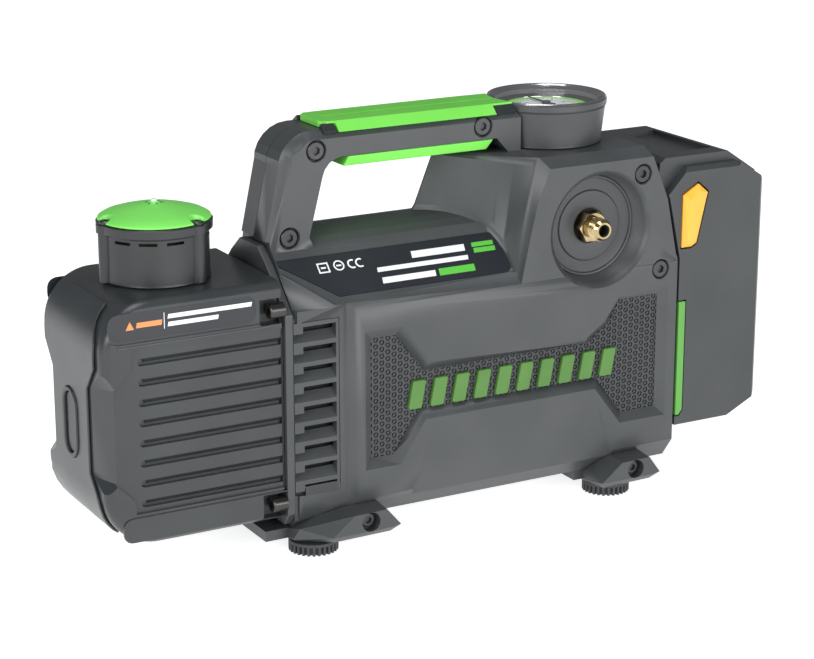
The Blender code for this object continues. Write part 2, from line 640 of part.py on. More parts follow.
def exhaust():
    """Cup on the tank top with its filter, and the green oil cap over it."""
    centre = (CAP_X, 0, 0)
    cup = [(16.6, 127), (16.6, 134.3), (CUP_RADIUS, 134.3), (CUP_RADIUS, 156.6), (CAP_RADIUS, 157.4),
           (CAP_RADIUS, 161.6), (23.6, 161.6), (22.4, 156), (22.4, 137), (13.6, 137), (13.6, 127)]
    body = piece("exhaust_cup", turned(cup, "z", centre, 32), "dark_grey")
    slots = []
    for third in range(3):
        for step in (-29, 0, 29):
            slot = box((CUP_RADIUS - 6, -4.2, 154.0), (CUP_RADIUS + 4, 4.2, 155.4))
            turn = Matrix.Rotation(math.radians(120 * third + step), 4, "Z")
            bmesh.ops.transform(slot, matrix=Matrix.Translation(centre) @ turn, verts=slot.verts)
            slots.append(slot)
    cut(body, merged(*slots))
    piece("exhaust_filter", tube("z", centre, 8, 21.5, 137.4, 152), "felt")
    cap = [(0, 158.4), (20.8, 158.4), (20.8, 161.9), (25.9, 161.9), (25.7, 162.8), (20, 165.1), (12, 167.3),
           (4.5, 168.7), (1.6, 168.9), (1.2, 170.4), (0, 170.4)]
    cover = piece("oil_cap", turned(cap, "z", centre, 32), "green", origin=(CAP_X, 0, 162))
    scoops = [rod("z", (CAP_X + 26 * math.cos(a), 26 * math.sin(a), 0), 4.6, 161.5, 175, 16)
              for a in (math.radians(60 + 120 * k) for k in range(3))]
    cut(cover, merged(*scoops))


# Pump and motor, on one shaft along X


def pump():
    """Flange, cylinder with its offset bore, slotted rotor and vanes."""
    axis = (0, 0, AXIS_Z)
    flange = [(34, 14), (38.5, 20), (38.5, 117.5), (19, 137), (9.5, 144.5), (-9.5, 144.5), (-19, 137),
              (-38.5, 117.5), (-38.5, 20), (-34, 14)]
    plate = piece("pump_flange", prism(flange, "x", -89.7, -85.7), "dark_grey")
    cut(plate, rod("x", axis, 8.3, -100, -80))
    bore = (0, 0, AXIS_Z - (BORE_RADIUS - ROTOR_RADIUS - GAP))
    cylinder = piece("pump_cylinder", rod("x", (0, 0, 66), 29, -122, -90.0, 32), "cast_iron")
    cut(cylinder, rod("x", bore, BORE_RADIUS, -130, -80, 32))
    piece("pump_end_plate", tube("x", axis, SHAFT_RADIUS + 0.4, 24, -127, -122.3), "cast_iron")
    rotor = piece("pump_rotor", tube("x", axis, SHAFT_RADIUS + 0.3, ROTOR_RADIUS, -121.7, -90.4), "steel",
                  origin=(-106, 0, AXIS_Z))
    cut(rotor, merged(*[box(*ordered((-130, side * 5.0, AXIS_Z - 1.7), (-80, side * 20, AXIS_Z + 1.7)))
                        for side in (-1, 1)]))
    for number, side in ((1, -1), (2, 1)):
        vane = box(*ordered((-121.4, side * 5.6, AXIS_Z - 1.35), (-90.7, side * 16.1, AXIS_Z + 1.35)))
        piece(f"pump_vane_{number}", vane, "black", origin=(-106, side * 11, AXIS_Z))


def motor():
    axis = (0, 0, AXIS_Z)
    piece("motor_shaft", rod("x", axis, SHAFT_RADIUS, -126, 12), "steel", origin=(-60, 0, AXIS_Z))
    piece("shaft_seal", tube("x", axis, SHAFT_RADIUS + 0.4, 8.0, -89.5, -86), "rubber")
    piece("bearing_front", tube("x", axis, SHAFT_RADIUS + 0.3, 9.5, -63, -58), "steel")
    piece("bearing_rear", tube("x", axis, SHAFT_RADIUS + 0.3, 9.5, 2, 7), "steel")
    blades = []
    for k in range(7):
        blade = box((-77, -1.2, 8), (-67, 1.2, 29))
        turn = Matrix.Rotation(2 * math.pi * k / 7, 4, "X")
        bmesh.ops.transform(blade, matrix=Matrix.Translation(axis) @ turn, verts=blade.verts)
        blades.append(blade)
    hub = tube("x", axis, SHAFT_RADIUS + 0.3, 10, -78, -66)
    fan = piece("cooling_fan", hub, "black", origin=(-72, 0, AXIS_Z))
    add(fan, merged(*blades))
    front_bell = [(9.9, -63), (14, -63), (14, -58.5), (28, -58.5), (28, -55.3), (9.9, -55.3)]
    piece("motor_end_bell", turned(front_bell, "x", axis), "aluminium")
    piece("motor_stator", tube("x", axis, 19, 28, -55, -5, 32), "copper")
    piece("motor_rotor", tube("x", axis, SHAFT_RADIUS + 0.3, 18.2, -53, -7, 32), "cast_iron",
          origin=(-30, 0, AXIS_Z))
    rear_bell = turned([(9.9, -4.7), (28, -4.7), (28, -1.5), (14, -1.5), (14, 7), (9.9, 7)], "x", axis)
    piece("motor_rear_bell", rear_bell, "aluminium")


def electrics():
    """Control board, and the power button in the rear round recess."""
    piece("control_board", box((40, -1.0, 24), (110, 0.6, 100)), "board")
    where = (PORT_X, 0, PORT_Z)
    seat = HALF_WIDTH - PORT_DEPTH + 0.1 + GAP
    ring = [(8.4, seat), (14.5, seat), (14.0, 32.4), (9.4, 33.4), (8.4, 33.4)]
    piece("button_ring", turned(ring, "y", where), "steel")
    cap = [(0, 24), (8.0, 24), (8.0, 34.6), (7.2, 35.4), (0, 35.4)]
    piece("power_button", turned(cap, "y", where), "green", origin=(PORT_X, 24, PORT_Z))


# Battery


def battery():
    """Case that slides up off the dock, its contact cover, cells, latches and side strips."""
    outer = [(128.9, BATTERY_BOTTOM), (162, BATTERY_BOTTOM), (181.4, 39), (182.0, 152.6), (164.3, 163.9),
             (133.2, 163.9), (121.0, 150.8), (121.9, 149), (128.9, 118)]
    case = piece("battery_case", prism(outer, "y", -HALF_WIDTH, HALF_WIDTH), "body_grey", sharp=30)
    inner = [(129.5, 140), (121.6, 150), (118.2, 156), (119.2, 166.2), (122.5, BATTERY_TOP),
             (160.5, BATTERY_TOP), (178, 157), (178, 140)]
    add(case, prism(inner, "y", -36, 36))
    for side in (-1, 1):
        # Chamfer up to the top face and down the far edge
        cut(case, hull([(x, side * y, z) for x in (131, 164.5) for y, z in
                        ((42.5, 160.6), (35.9, 169.4), (50, 160), (50, 175))]))
        cut(case, hull([(182.3, side * 37, 20), (182.3, side * 37, 175), (177.5, side * 42.1, 20),
                        (177.5, side * 42.1, 175), (190, side * 50, 20), (190, side * 50, 175)]))
        # Seats of the latch and of the side strip
        cut(case, prism(latch_outline(0.5), "y", side * 33, side * 50))
        seat = [(120, 34.2), (131.6, 34.2), (133.8, 37), (133.8, 95.7), (120, 95.7)]
        cut(case, prism(seat, "y", side * 38.0, side * 50))
        name = "front" if side < 0 else "rear"
        strip = [(129.3, 34.8), (131.2, 34.8), (133.3, 37.5), (133.3, 95.0), (129.3, 95.0)]
        piece(f"battery_strip_{name}", prism(strip, "y", side * 38.4, side * (HALF_WIDTH + 0.2)), "green")
        piece(f"battery_latch_{name}", latch(side), "orange", origin=(135, side * 39, 140))
    # Cavity, open towards the dock and closed by the contact cover
    cavity = [(120, 40), (120, 116), (134, 116), (134, 150), (177, 150), (177, 42), (160, 34), (134, 34),
              (134, 40)]
    cut(case, prism(cavity, "y", -34.5, 34.5))
    # Channel for the dock rail, open at the bottom
    cut(case, box((120, -31.6, 20), (131.8, 31.6, 117.2)))
    # Recess in the top face
    cut(case, box((139, -25.5, BATTERY_TOP - 2.6), (158, 25.5, BATTERY_TOP + 5)))
    cover = piece("battery_contact_cover", box((132.1, -34.2, 40.3), (134.6, 34.2, 115.7)), "dark_grey")
    cut(cover, merged(*[box((120, y - 1.2, 62), (140, y + 1.2, 92)) for y in (-12, -4, 4, 12)]))
    cells = [rod("y", (x, 0, 50 + 20.4 * k), 9.2, -32.5, 32.5, 12) for x in (146, 166.6) for k in range(5)]
    pack = piece("battery_cells", merged(*cells), "copper")
    add(pack, merged(box((138, -22, 44), (174.5, -18, 137)), box((138, 18, 44), (174.5, 22, 137))))
    base = [(127.9, -31, 34), (127.9, 31, 34), (127.9, 31, 115), (127.9, -31, 115)]
    crest = [(131.3, -29, 36), (131.3, 29, 36), (131.3, 29, 113), (131.3, -29, 113)]
    dock = piece("battery_dock", loft(base, crest), "dark_grey")
    add(dock, box((118, -13.5, 62), (128.2, 13.5, 98)))


def latch_outline(grow=0.0):
    corners = [(129.6, 150.4), (138.8, 155.6), (144.9, 150.4), (138.8, 124.6), (135.5, 122.8), (129.6, 122.8)]
    return inset(corners, -grow)


def latch(side):
    """Push button with its edges slanted to a smaller, raised face."""
    base = latch_outline()
    crest = inset(base, 2.2)
    bm = loft([(x, side * 37.4, z) for x, z in base], [(x, side * (HALF_WIDTH + 0.6), z) for x, z in base])
    top = loft([(x, side * (HALF_WIDTH + 0.6), z) for x, z in base],
               [(x, side * (HALF_WIDTH + 3.2), z) for x, z in crest])
    bm = merged(bm, top)
    bmesh.ops.remove_doubles(bm, verts=bm.verts, dist=0.01)
    shared = [face for face in bm.faces
              if all(abs(abs(v.co.y) - HALF_WIDTH - 0.6) < 0.001 for v in face.verts)]
    bmesh.ops.delete(bm, geom=shared, context="FACES_ONLY")
    bmesh.ops.recalc_face_normals(bm, faces=bm.faces)
    return bm


# Feet


def foot_bar(name, left, right, brackets, foot_x):
    """Cross bar under the housing, with a bevelled bracket at each end."""
    plan = [(left, -33), (right, -33), (right, 33), (left, 33)]
    bar = piece(name, prism(plan, "z", 6.6, BODY_BOTTOM - GAP), "body_grey")
    for side in (-1, 1):
        add(bar, bracket(side, *brackets))
    for side in (-1, 1):
        cut(bar, prism(deck_section(side, GAP) + [(-side * 2, 150), (-side * 2, BODY_BOTTOM - GAP)], "x",
                       BODY_LEFT - GAP, 130))
        cut(bar, rod("y", ((brackets[1] + brackets[2]) / 2, 0, 14.3), 4.8, *sorted((side * 46.5, side * 60))))
        cut(bar, rod("z", (foot_x, side * FOOT_Y, 0), 5, 2, 9.5))
    return bar


def bracket(side, toe, low, high, heel):
    """Bracket end: X of the tail, the face's left and right top corners, and the right tip."""
    face = [(low - 12, 9.8), (low, 19), (high, 19.3), (heel, 10.5), (heel - 4, 9.8)]
    points = [(x, side * 52, z) for x, z in face]
    points += [(toe + 2, side * 43, 14), (toe, side * 40, 8), (toe + 3, side * 40, 6.6),
               (low - 10, side * 50, 6.9), (heel - 4, side * 48.6, 6.6)]
    points += [(toe, side * 31, 6.6), (toe, side * 31, 11), (low, side * 31, 21), (high, side * 31, 21),
               (heel - 2, side * 31, 12), (heel - 4, side * 31, 6.6)]
    return hull(points)


def feet():
    foot_bar("foot_bar_left", -99, -40, (-88, -61, -44, -36.5), FOOT_LEFT_X)
    foot_bar("foot_bar_right", 74, 112, (78, 90.5, 107, 113.5), FOOT_RIGHT_X)
    corners = [(x, y) for x in (FOOT_LEFT_X, FOOT_RIGHT_X) for y in (-FOOT_Y, FOOT_Y)]
    for number, (x, y) in enumerate(corners, 1):
        profile = [(0, 0), (FOOT_RADIUS - 1.2, 0), (FOOT_RADIUS, 1.2), (FOOT_RADIUS, 4.6),
                   (FOOT_RADIUS - 1.5, FOOT_HEIGHT), (4.6, FOOT_HEIGHT), (4.6, 9.2), (0, 9.2)]
        piece(f"rubber_foot_{number}", turned(profile, "z", (x, y, 0), 24), "rubber")


def main():
    clear_scene()
    housing_half("housing_front", -1, port=True)
    housing_half("housing_rear", 1, port=False)
    for name, side in (("front", -1), ("rear", 1)):
        vent_grille(f"vent_grille_{name}", side)
        texture_panel(f"texture_panel_{name}", side)
        emblem(f"emblem_{name}", side)
        deck_label(f"deck_label_{name}", side)
    grip_top()
    grip_lower()
    gauge()
    inlet()
    oil_tank()
    tank_trim()
    exhaust()
    pump()
    motor()
    electrics()
    battery()
    feet()


main()
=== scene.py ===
"""Looks of a cordless refrigeration vacuum pump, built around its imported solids.

Makers work in millimetres, in the frame of the solids. A mesh is scaled to metres as it becomes an object.
-Y is the side with the flare fitting, +X runs from the oil tank to the battery, +Z is up.
"""

import json
import math

import bmesh
import bpy
from mathutils import Matrix, Vector


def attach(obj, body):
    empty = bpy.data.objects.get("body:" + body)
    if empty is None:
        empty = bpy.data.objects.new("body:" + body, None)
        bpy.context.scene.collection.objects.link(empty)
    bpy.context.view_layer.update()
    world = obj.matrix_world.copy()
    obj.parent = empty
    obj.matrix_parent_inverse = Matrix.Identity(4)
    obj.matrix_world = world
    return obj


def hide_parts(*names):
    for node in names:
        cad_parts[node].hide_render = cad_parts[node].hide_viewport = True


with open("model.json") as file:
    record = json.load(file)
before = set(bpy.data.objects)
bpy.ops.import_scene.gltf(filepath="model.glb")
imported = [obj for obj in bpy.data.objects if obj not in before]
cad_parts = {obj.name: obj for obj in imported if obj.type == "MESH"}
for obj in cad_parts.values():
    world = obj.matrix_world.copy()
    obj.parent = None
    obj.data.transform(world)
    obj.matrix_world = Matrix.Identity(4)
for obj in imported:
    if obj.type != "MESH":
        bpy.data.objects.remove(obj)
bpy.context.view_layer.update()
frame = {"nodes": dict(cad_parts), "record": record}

MM = 0.001
SIDES = {"front": -1, "rear": 1}
FACE = 41.8  # half width of the housing
SHOULDER = 116.8  # where the side face turns into the 45 degree deck
GRIP_FACE = 17.0
PORT = (81.2, 138.2)  # X and Z of the round recess
PORT_CENTRE = (PORT[0], 0, PORT[1])
GAUGE_X = 74.6
CAP_X = -136.6
CAP_TURNS = [math.radians(60 + 120 * k) for k in range(3)]  # the cap's scoops and the cup's columns
DRAIN_X = -150
BOLT_HEIGHTS = (120.4, 26.0)
TANK_HALF = 38.0
PANEL_RIM = [(-50, 105), (-30, 105), (-14.6, 85.2), (74.6, 85.2), (84.4, 91.7), (92, 104.8), (122.4, 104.8),
             (122.4, 36.5), (95, 36.5), (79.5, 56.8), (-17, 56.8), (-31, 36.5), (-50, 36.5)]
PANEL_DEPTH = 3.3
SCREWS_BLOCK = [(105.3, 163.5), (117.5, 113.7)]
SCREWS_HANDLE = [(-61.8, 187.7), (28.3, 190.4), (-76.2, 147.8)]
SCREWS_BRACKET = [(-52.5, 14.3), (98.75, 14.3)]


# ---- mesh makers


def arc(cx, cz, radius, start, end, steps):
    turns = [math.radians(start + (end - start) * k / steps) for k in range(steps + 1)]
    return [(cx + radius * math.cos(t), cz + radius * math.sin(t)) for t in turns]


def around(cx, radius, turn, z):
    """The point at an angle in radians on a level circle about (cx, 0)."""
    return (cx + radius * math.cos(turn), radius * math.sin(turn), z)


def stacked(rings):
    """A closed solid through rings of points, with a flat cap on the first and the last."""
    bm = bmesh.new()
    loops = [[bm.verts.new(point) for point in ring] for ring in rings]
    bm.faces.new(loops[0])
    bm.faces.new(loops[-1])
    for near, far in zip(loops, loops[1:]):
        for i in range(len(near)):
            j = (i + 1) % len(near)
            bm.faces.new((near[i], near[j], far[j], far[i]))
    bmesh.ops.recalc_face_normals(bm, faces=bm.faces)
    return bm


def prism(outline, axis, low, high):
    """An outline of two coordinates, extruded along the third axis."""
    def place(u, v, along):
        return {"x": (along, u, v), "y": (u, along, v), "z": (u, v, along)}[axis]

    return stacked([[place(u, v, along) for u, v in outline] for along in (low, high)])


def box(low, high):
    low, high = [min(a, b) for a, b in zip(low, high)], [max(a, b) for a, b in zip(low, high)]
    return prism([(low[0], low[1]), (high[0], low[1]), (high[0], high[1]), (low[0], high[1])], "z", low[2],
                 high[2])


def hull(points):
    bm = bmesh.new()
    for point in points:
        bm.verts.new(point)
    result = bmesh.ops.convex_hull(bm, input=bm.verts)
    loose = [v for v in result["geom_interior"] if isinstance(v, bmesh.types.BMVert)]
    bmesh.ops.delete(bm, geom=loose, context="VERTS")
    bmesh.ops.dissolve_limit(bm, angle_limit=math.radians(0.5), verts=bm.verts, edges=bm.edges)
    bmesh.ops.recalc_face_normals(bm, faces=bm.faces)
    return bm


AXIS_FRAMES = {"x": ((0, 1, 0), (0, 0, 1), (1, 0, 0)), "y": ((0, 0, 1), (1, 0, 0), (0, 1, 0)),
               "z": ((1, 0, 0), (0, 1, 0), (0, 0, 1))}


def turned(profile, axis, centre, steps=96):
    """A closed profile of (radius, height) points turned about an axis through the centre."""
    bm = bmesh.new()
    across, up, along = (Vector(v) for v in AXIS_FRAMES[axis])
    centre = Vector(centre)

    def ring(radius, height):
        if radius == 0:
            return [bm.verts.new(centre + along * height)] * steps
        turns = [2 * math.pi * k / steps for k in range(steps)]
        return [bm.verts.new(centre + along * height + radius * (across * math.cos(t) + up * math.sin(t)))
                for t in turns]

    rings = [ring(radius, height) for radius, height in profile]
    for i, lower in enumerate(rings):
        upper = rings[(i + 1) % len(rings)]
        for k in range(steps):
            corners = [lower[k], lower[(k + 1) % steps], upper[(k + 1) % steps], upper[k]]
            corners = list(dict.fromkeys(corners))
            if len(corners) > 2:
                bm.faces.new(corners)
    bmesh.ops.recalc_face_normals(bm, faces=bm.faces)
    return bm


def softened(profile, radius, steps=3):
    """A profile or outline with its corners rounded."""
    result = []
    for i, point in enumerate(profile):
        here, before, after = Vector(point), Vector(profile[i - 1]), Vector(profile[(i + 1) % len(profile)])
        back, ahead = before - here, after - here
        on_axis = here.x == 0 and (before.x == 0 or after.x == 0)
        if on_axis or back.angle(ahead) / 2 > math.radians(87):
            result.append(tuple(here))
            continue
        half = back.angle(ahead) / 2
        reach = min(radius / math.tan(half), back.length * 0.45, ahead.length * 0.45)
        a, b = here + back.normalized() * reach, here + ahead.normalized() * reach
        for k in range(steps + 1):
            t = k / steps
            result.append(tuple(a * (1 - t) ** 2 + here * 2 * t * (1 - t) + b * t**2))
    return result


def inset(outline, run):
    """The outline with each edge moved inwards by the run."""
    area = sum(a[0] * b[1] - b[0] * a[1] for a, b in zip(outline, outline[1:] + outline[:1]))
    turn = 1 if area > 0 else -1
    result = []
    for i, point in enumerate(outline):
        here, before, after = Vector(point), Vector(outline[i - 1]), Vector(outline[(i + 1) % len(outline)])
        first, second = (here - before).normalized(), (after - here).normalized()
        normal_1, normal_2 = Vector((-first.y, first.x)) * turn, Vector((-second.y, second.x)) * turn
        result.append(tuple(here + (normal_1 + normal_2) / (1 + normal_1.dot(normal_2)) * run))
    return result


def joined(*parts):
    whole = bmesh.new()
    for part in parts:
        mesh = bpy.data.meshes.new("part")
        part.to_mesh(mesh)
        part.free()
        whole.from_mesh(mesh)
        bpy.data.meshes.remove(mesh)
    return whole


def faced(bm, side):
    """The shape as it is on the +Y side, or mirrored to the -Y side."""
    if side < 0:
        bmesh.ops.scale(bm, verts=bm.verts, vec=(1, -1, 1))
        bmesh.ops.reverse_faces(bm, faces=bm.faces)
    return bm


def solid_of(node, whole=True):
    """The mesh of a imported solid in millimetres. Flat faces are made whole again, unless they have holes."""
    bm = bmesh.new()
    bm.from_mesh(frame["nodes"][node].data)
    bmesh.ops.scale(bm, verts=bm.verts, vec=(1000, 1000, 1000))
    bmesh.ops.remove_doubles(bm, verts=bm.verts, dist=0.004)
    if whole:
        bmesh.ops.dissolve_limit(bm, angle_limit=math.radians(0.7), verts=bm.verts, edges=bm.edges)
    bmesh.ops.recalc_face_normals(bm, faces=bm.faces)
    return bm


def deck_point(side, x, up, above):
    """A point on the deck slope: along X, up the slope, and above its surface."""
    step = math.sqrt(0.5)
    return (x, side * (FACE - (up - above) * step), SHOULDER + (up + above) * step)


def deck_plate(outline, side, low, high):
    return stacked([[deck_point(side, x, up, above) for x, up in outline] for above in (low, high)])


# ---- objects


def plain(name, bm):
    mesh = bpy.data.meshes.new(name)
    bmesh.ops.scale(bm, verts=bm.verts, vec=(MM, MM, MM))
    bm.to_mesh(mesh)
    bm.free()
    obj = bpy.data.objects.new(name, mesh)
    bpy.context.scene.collection.objects.link(obj)
    return obj


def settle(obj):
    """Applies the modifiers to the mesh."""
    bpy.context.view_layer.update()
    graph = bpy.context.evaluated_depsgraph_get()
    mesh = bpy.data.meshes.new_from_object(obj.evaluated_get(graph), preserve_all_data_layers=True,
                                           depsgraph=graph)
    obj.modifiers.clear()
    old = obj.data
    obj.data = mesh
    mesh.name = obj.name
    bpy.data.meshes.remove(old)


def carve(obj, *cutters, operation="DIFFERENCE"):
    for bm in cutters:
        cutter = plain("cutter", bm)
        boolean = obj.modifiers.new("carve", "BOOLEAN")
        boolean.operation = operation
        boolean.solver = "EXACT"
        boolean.object = cutter
        settle(obj)
        bpy.data.objects.remove(cutter)
    return obj


def mended(obj, reach):
    """Merges points nearer than the reach in millimetres, and drops the faces that have no area left."""
    bm = bmesh.new()
    bm.from_mesh(obj.data)
    bmesh.ops.remove_doubles(bm, verts=bm.verts, dist=reach * MM)
    bmesh.ops.dissolve_degenerate(bm, edges=bm.edges, dist=0.5 * reach * MM)
    bm.to_mesh(obj.data)
    bm.free()


def finish_piece(obj, slot, replaces=(), look=None, body="pump_body", bevel=0.0, segments=2, angle=28,
                 smooth=35):
    """Bevelled edges, smooth shading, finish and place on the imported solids. The slot names the finish."""
    if bevel:
        mended(obj, 0.03)
        modifier = obj.modifiers.new("edges", "BEVEL")
        modifier.width = bevel * MM
        modifier.segments = segments
        modifier.limit_method = "ANGLE"
        modifier.angle_limit = math.radians(angle)
        modifier.use_clamp_overlap = True
        modifier.miter_outer = "MITER_ARC"
        modifier.harden_normals = False
        settle(obj)
        mended(obj, 0.005)
    mesh = obj.data
    mesh.materials.clear()
    mesh.materials.append(look or LOOKS[slot])
    mesh.shade_smooth()
    mesh.set_sharp_from_angle(angle=math.radians(smooth))
    if bevel:
        weighted = obj.modifiers.new("flat faces", "WEIGHTED_NORMAL")
        weighted.keep_sharp = True
        weighted.weight = 80
        settle(obj)
    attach(obj, body)
    if replaces:
        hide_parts(*replaces)
    return obj


def piece(name, bm, slot, replaces=(), **finish):
    return finish_piece(plain(name, bm), slot, replaces, **finish)


# ---- finishes


def build_surface_grain():
    """Fine grain for the height of a surface, and a slow mottle for its colour and gloss."""
    group = bpy.data.node_groups.new("surface_grain", "ShaderNodeTree")
    for socket, in_out, kind in (("Vector", "INPUT", "Vector"), ("Grain Scale", "INPUT", "Float"),
                                 ("Mottle Scale", "INPUT", "Float"), ("Height", "OUTPUT", "Float"),
                                 ("Mottle", "OUTPUT", "Float")):
        group.interface.new_socket(socket, in_out=in_out, socket_type="NodeSocket" + kind)
    given, result = group.nodes.new("NodeGroupInput"), group.nodes.new("NodeGroupOutput")
    fine = group.nodes.new("ShaderNodeTexNoise")
    fine.inputs["Detail"].default_value = 3
    slow = group.nodes.new("ShaderNodeTexNoise")
    slow.inputs["Detail"].default_value = 5
    spread = group.nodes.new("ShaderNodeMapRange")
    spread.inputs["From Min"].default_value = 0.32
    spread.inputs["From Max"].default_value = 0.68
    link = group.links.new
    link(given.outputs["Vector"], fine.inputs["Vector"])
    link(given.outputs["Vector"], slow.inputs["Vector"])
    link(given.outputs["Grain Scale"], fine.inputs["Scale"])
    link(given.outputs["Mottle Scale"], slow.inputs["Scale"])
    link(slow.outputs["Fac"], spread.inputs["Value"])
    link(fine.outputs["Fac"], result.inputs["Height"])
    link(spread.outputs["Result"], result.inputs["Mottle"])
    return group


GRAIN = build_surface_grain()


def surface(name, dark, light, roughness, grain=1500, mottle=30, bump=0.12, depth=0.00006, stretch=(1, 1, 1),
            **fixed):
    """A finish whose colour and gloss drift between two values, over a fine grain."""
    look = bpy.data.materials.new(name)
    look.use_nodes = True
    nodes, link = look.node_tree.nodes, look.node_tree.links.new
    shader = nodes["Principled BSDF"]
    place = nodes.new("ShaderNodeTexCoord")
    scaled = nodes.new("ShaderNodeMapping")
    scaled.inputs["Scale"].default_value = stretch
    grains = nodes.new("ShaderNodeGroup")
    grains.node_tree = GRAIN
    grains.inputs["Grain Scale"].default_value = grain
    grains.inputs["Mottle Scale"].default_value = mottle
    tint = nodes.new("ShaderNodeMix")
    tint.data_type = "RGBA"
    tint.inputs["A"].default_value = (*dark, 1)
    tint.inputs["B"].default_value = (*light, 1)
    gloss = nodes.new("ShaderNodeMapRange")
    gloss.inputs["To Min"].default_value, gloss.inputs["To Max"].default_value = roughness
    relief = nodes.new("ShaderNodeBump")
    relief.inputs["Strength"].default_value = bump
    relief.inputs["Distance"].default_value = depth
    link(place.outputs["Object"], scaled.inputs["Vector"])
    link(scaled.outputs["Vector"], grains.inputs["Vector"])
    link(grains.outputs["Mottle"], tint.inputs["Factor"])
    link(grains.outputs["Mottle"], gloss.inputs["Value"])
    link(grains.outputs["Height"], relief.inputs["Height"])
    link(tint.outputs["Result"], shader.inputs["Base Color"])
    link(gloss.outputs["Result"], shader.inputs["Roughness"])
    link(relief.outputs["Normal"], shader.inputs["Normal"])
    for socket, value in fixed.items():
        shader.inputs[socket.replace("_", " ")].default_value = value
    look.diffuse_color = (*light, 1)
    return look


LOOKS = {
    "body_grey": surface("housing_plastic", (0.042, 0.046, 0.048), (0.053, 0.057, 0.060), (0.34, 0.42),
                         bump=0.25),
    "battery_grey": surface("battery_plastic", (0.032, 0.036, 0.038), (0.041, 0.045, 0.048), (0.36, 0.44),
                            bump=0.25),
    "tank_grey": surface("tank_paint", (0.026, 0.029, 0.031), (0.034, 0.038, 0.040), (0.28, 0.36), grain=600,
                         bump=0.12),
    "foot_grey": surface("bracket_plastic", (0.036, 0.040, 0.042), (0.046, 0.050, 0.053), (0.34, 0.42),
                         bump=0.25),
    "trim_dark": surface("trim_plastic", (0.016, 0.018, 0.019), (0.023, 0.026, 0.027), (0.32, 0.42)),
    "textured_dark": surface("ring_texture_plastic", (0.028, 0.031, 0.032), (0.038, 0.042, 0.044),
                             (0.34, 0.44)),
    "label_film": surface("label_film", (0.014, 0.017, 0.021), (0.018, 0.021, 0.026), (0.30, 0.36), grain=300,
                          bump=0.03),
    "emblem_green": surface("emblem_plastic", (0.058, 0.165, 0.024), (0.070, 0.190, 0.030), (0.38, 0.46),
                            mottle=60),
    "grip_green": surface("grip_rubber", (0.150, 0.600, 0.065), (0.170, 0.660, 0.078), (0.46, 0.56),
                          grain=1100, bump=0.35),
    "cap_green": surface("cap_plastic", (0.190, 0.720, 0.110), (0.215, 0.790, 0.130), (0.34, 0.42), grain=900,
                         bump=0.10),
    "strip_green": surface("strip_plastic", (0.085, 0.290, 0.045), (0.100, 0.330, 0.054), (0.36, 0.44)),
    "button_green": surface("button_plastic", (0.090, 0.420, 0.036), (0.105, 0.470, 0.044), (0.36, 0.44)),
    "latch_orange": surface("latch_plastic", (0.88, 0.42, 0.040), (0.94, 0.47, 0.052), (0.34, 0.42),
                            grain=900),
    "bezel_metal": surface("bezel_metal", (0.50, 0.50, 0.51), (0.62, 0.62, 0.63), (0.12, 0.22), grain=2600,
                           bump=0.05, Metallic=1.0),
    "dial": surface("dial_card", (0.80, 0.84, 0.82), (0.86, 0.89, 0.87), (0.45, 0.55), grain=1500, bump=0.03),
    "needle_black": surface("needle_paint", (0.008, 0.008, 0.008), (0.014, 0.014, 0.014), (0.40, 0.50)),
    "fitting_brass": surface("fitting_brass", (0.40, 0.30, 0.15), (0.56, 0.45, 0.26), (0.14, 0.28),
                             grain=1800, mottle=160, bump=0.10, Metallic=1.0),
    "cast_alloy": surface("cast_alloy", (0.42, 0.43, 0.44), (0.56, 0.57, 0.58), (0.42, 0.60), grain=700,
                          bump=0.5, Metallic=1.0),
    "pump_iron": surface("pump_iron", (0.13, 0.13, 0.14), (0.19, 0.19, 0.20), (0.40, 0.60), grain=700,
                         bump=0.4, Metallic=1.0),
    "shaft_steel": surface("shaft_steel", (0.46, 0.47, 0.48), (0.58, 0.59, 0.60), (0.18, 0.32),
                           stretch=(20, 1, 1), Metallic=1.0),
    "plug_steel": surface("plug_steel", (0.36, 0.37, 0.38), (0.46, 0.47, 0.48), (0.22, 0.36), Metallic=1.0),
    "cell_steel": surface("cell_sleeve", (0.10, 0.20, 0.42), (0.14, 0.26, 0.50), (0.30, 0.40)),
    "copper_winding": surface("copper_winding", (0.46, 0.19, 0.08), (0.66, 0.32, 0.14), (0.25, 0.45),
                              grain=900, bump=0.8, stretch=(0.05, 1, 1), Metallic=1.0),
    "vane_black": surface("vane_composite", (0.014, 0.014, 0.015), (0.024, 0.024, 0.025), (0.45, 0.60)),
    "board_green": surface("board_mask", (0.012, 0.110, 0.040), (0.018, 0.150, 0.055), (0.28, 0.40)),
    "filter_felt": surface("filter_felt", (0.42, 0.39, 0.31), (0.60, 0.56, 0.46), (0.85, 0.95), grain=900,
                           bump=0.9),
    "gasket_rubber": surface("gasket_rubber", (0.014, 0.014, 0.014), (0.022, 0.022, 0.022), (0.65, 0.80)),
    "foot_rubber": surface("foot_rubber", (0.026, 0.028, 0.030), (0.040, 0.042, 0.045), (0.55, 0.70),
                           bump=0.3),
    "gauge_glass": surface("gauge_glass", (0.90, 0.93, 0.92), (0.96, 0.98, 0.98), (0.03, 0.06), grain=200,
                           bump=0.01, Alpha=0.06),
    "sight_glass": surface("sight_glass_oil", (0.006, 0.009, 0.009), (0.010, 0.014, 0.013), (0.18, 0.24),
                           grain=200, bump=0.01, Specular_IOR_Level=0.25),
}
SCREW_BLACK = surface("screw_black_oxide", (0.050, 0.050, 0.052), (0.075, 0.075, 0.078), (0.26, 0.38),
                      grain=2400, bump=0.12, Metallic=0.75)
BOLT_STEEL = surface("bolt_dark_steel", (0.050, 0.048, 0.046), (0.080, 0.076, 0.073), (0.26, 0.38),
                     grain=2400, bump=0.12, Metallic=0.85)
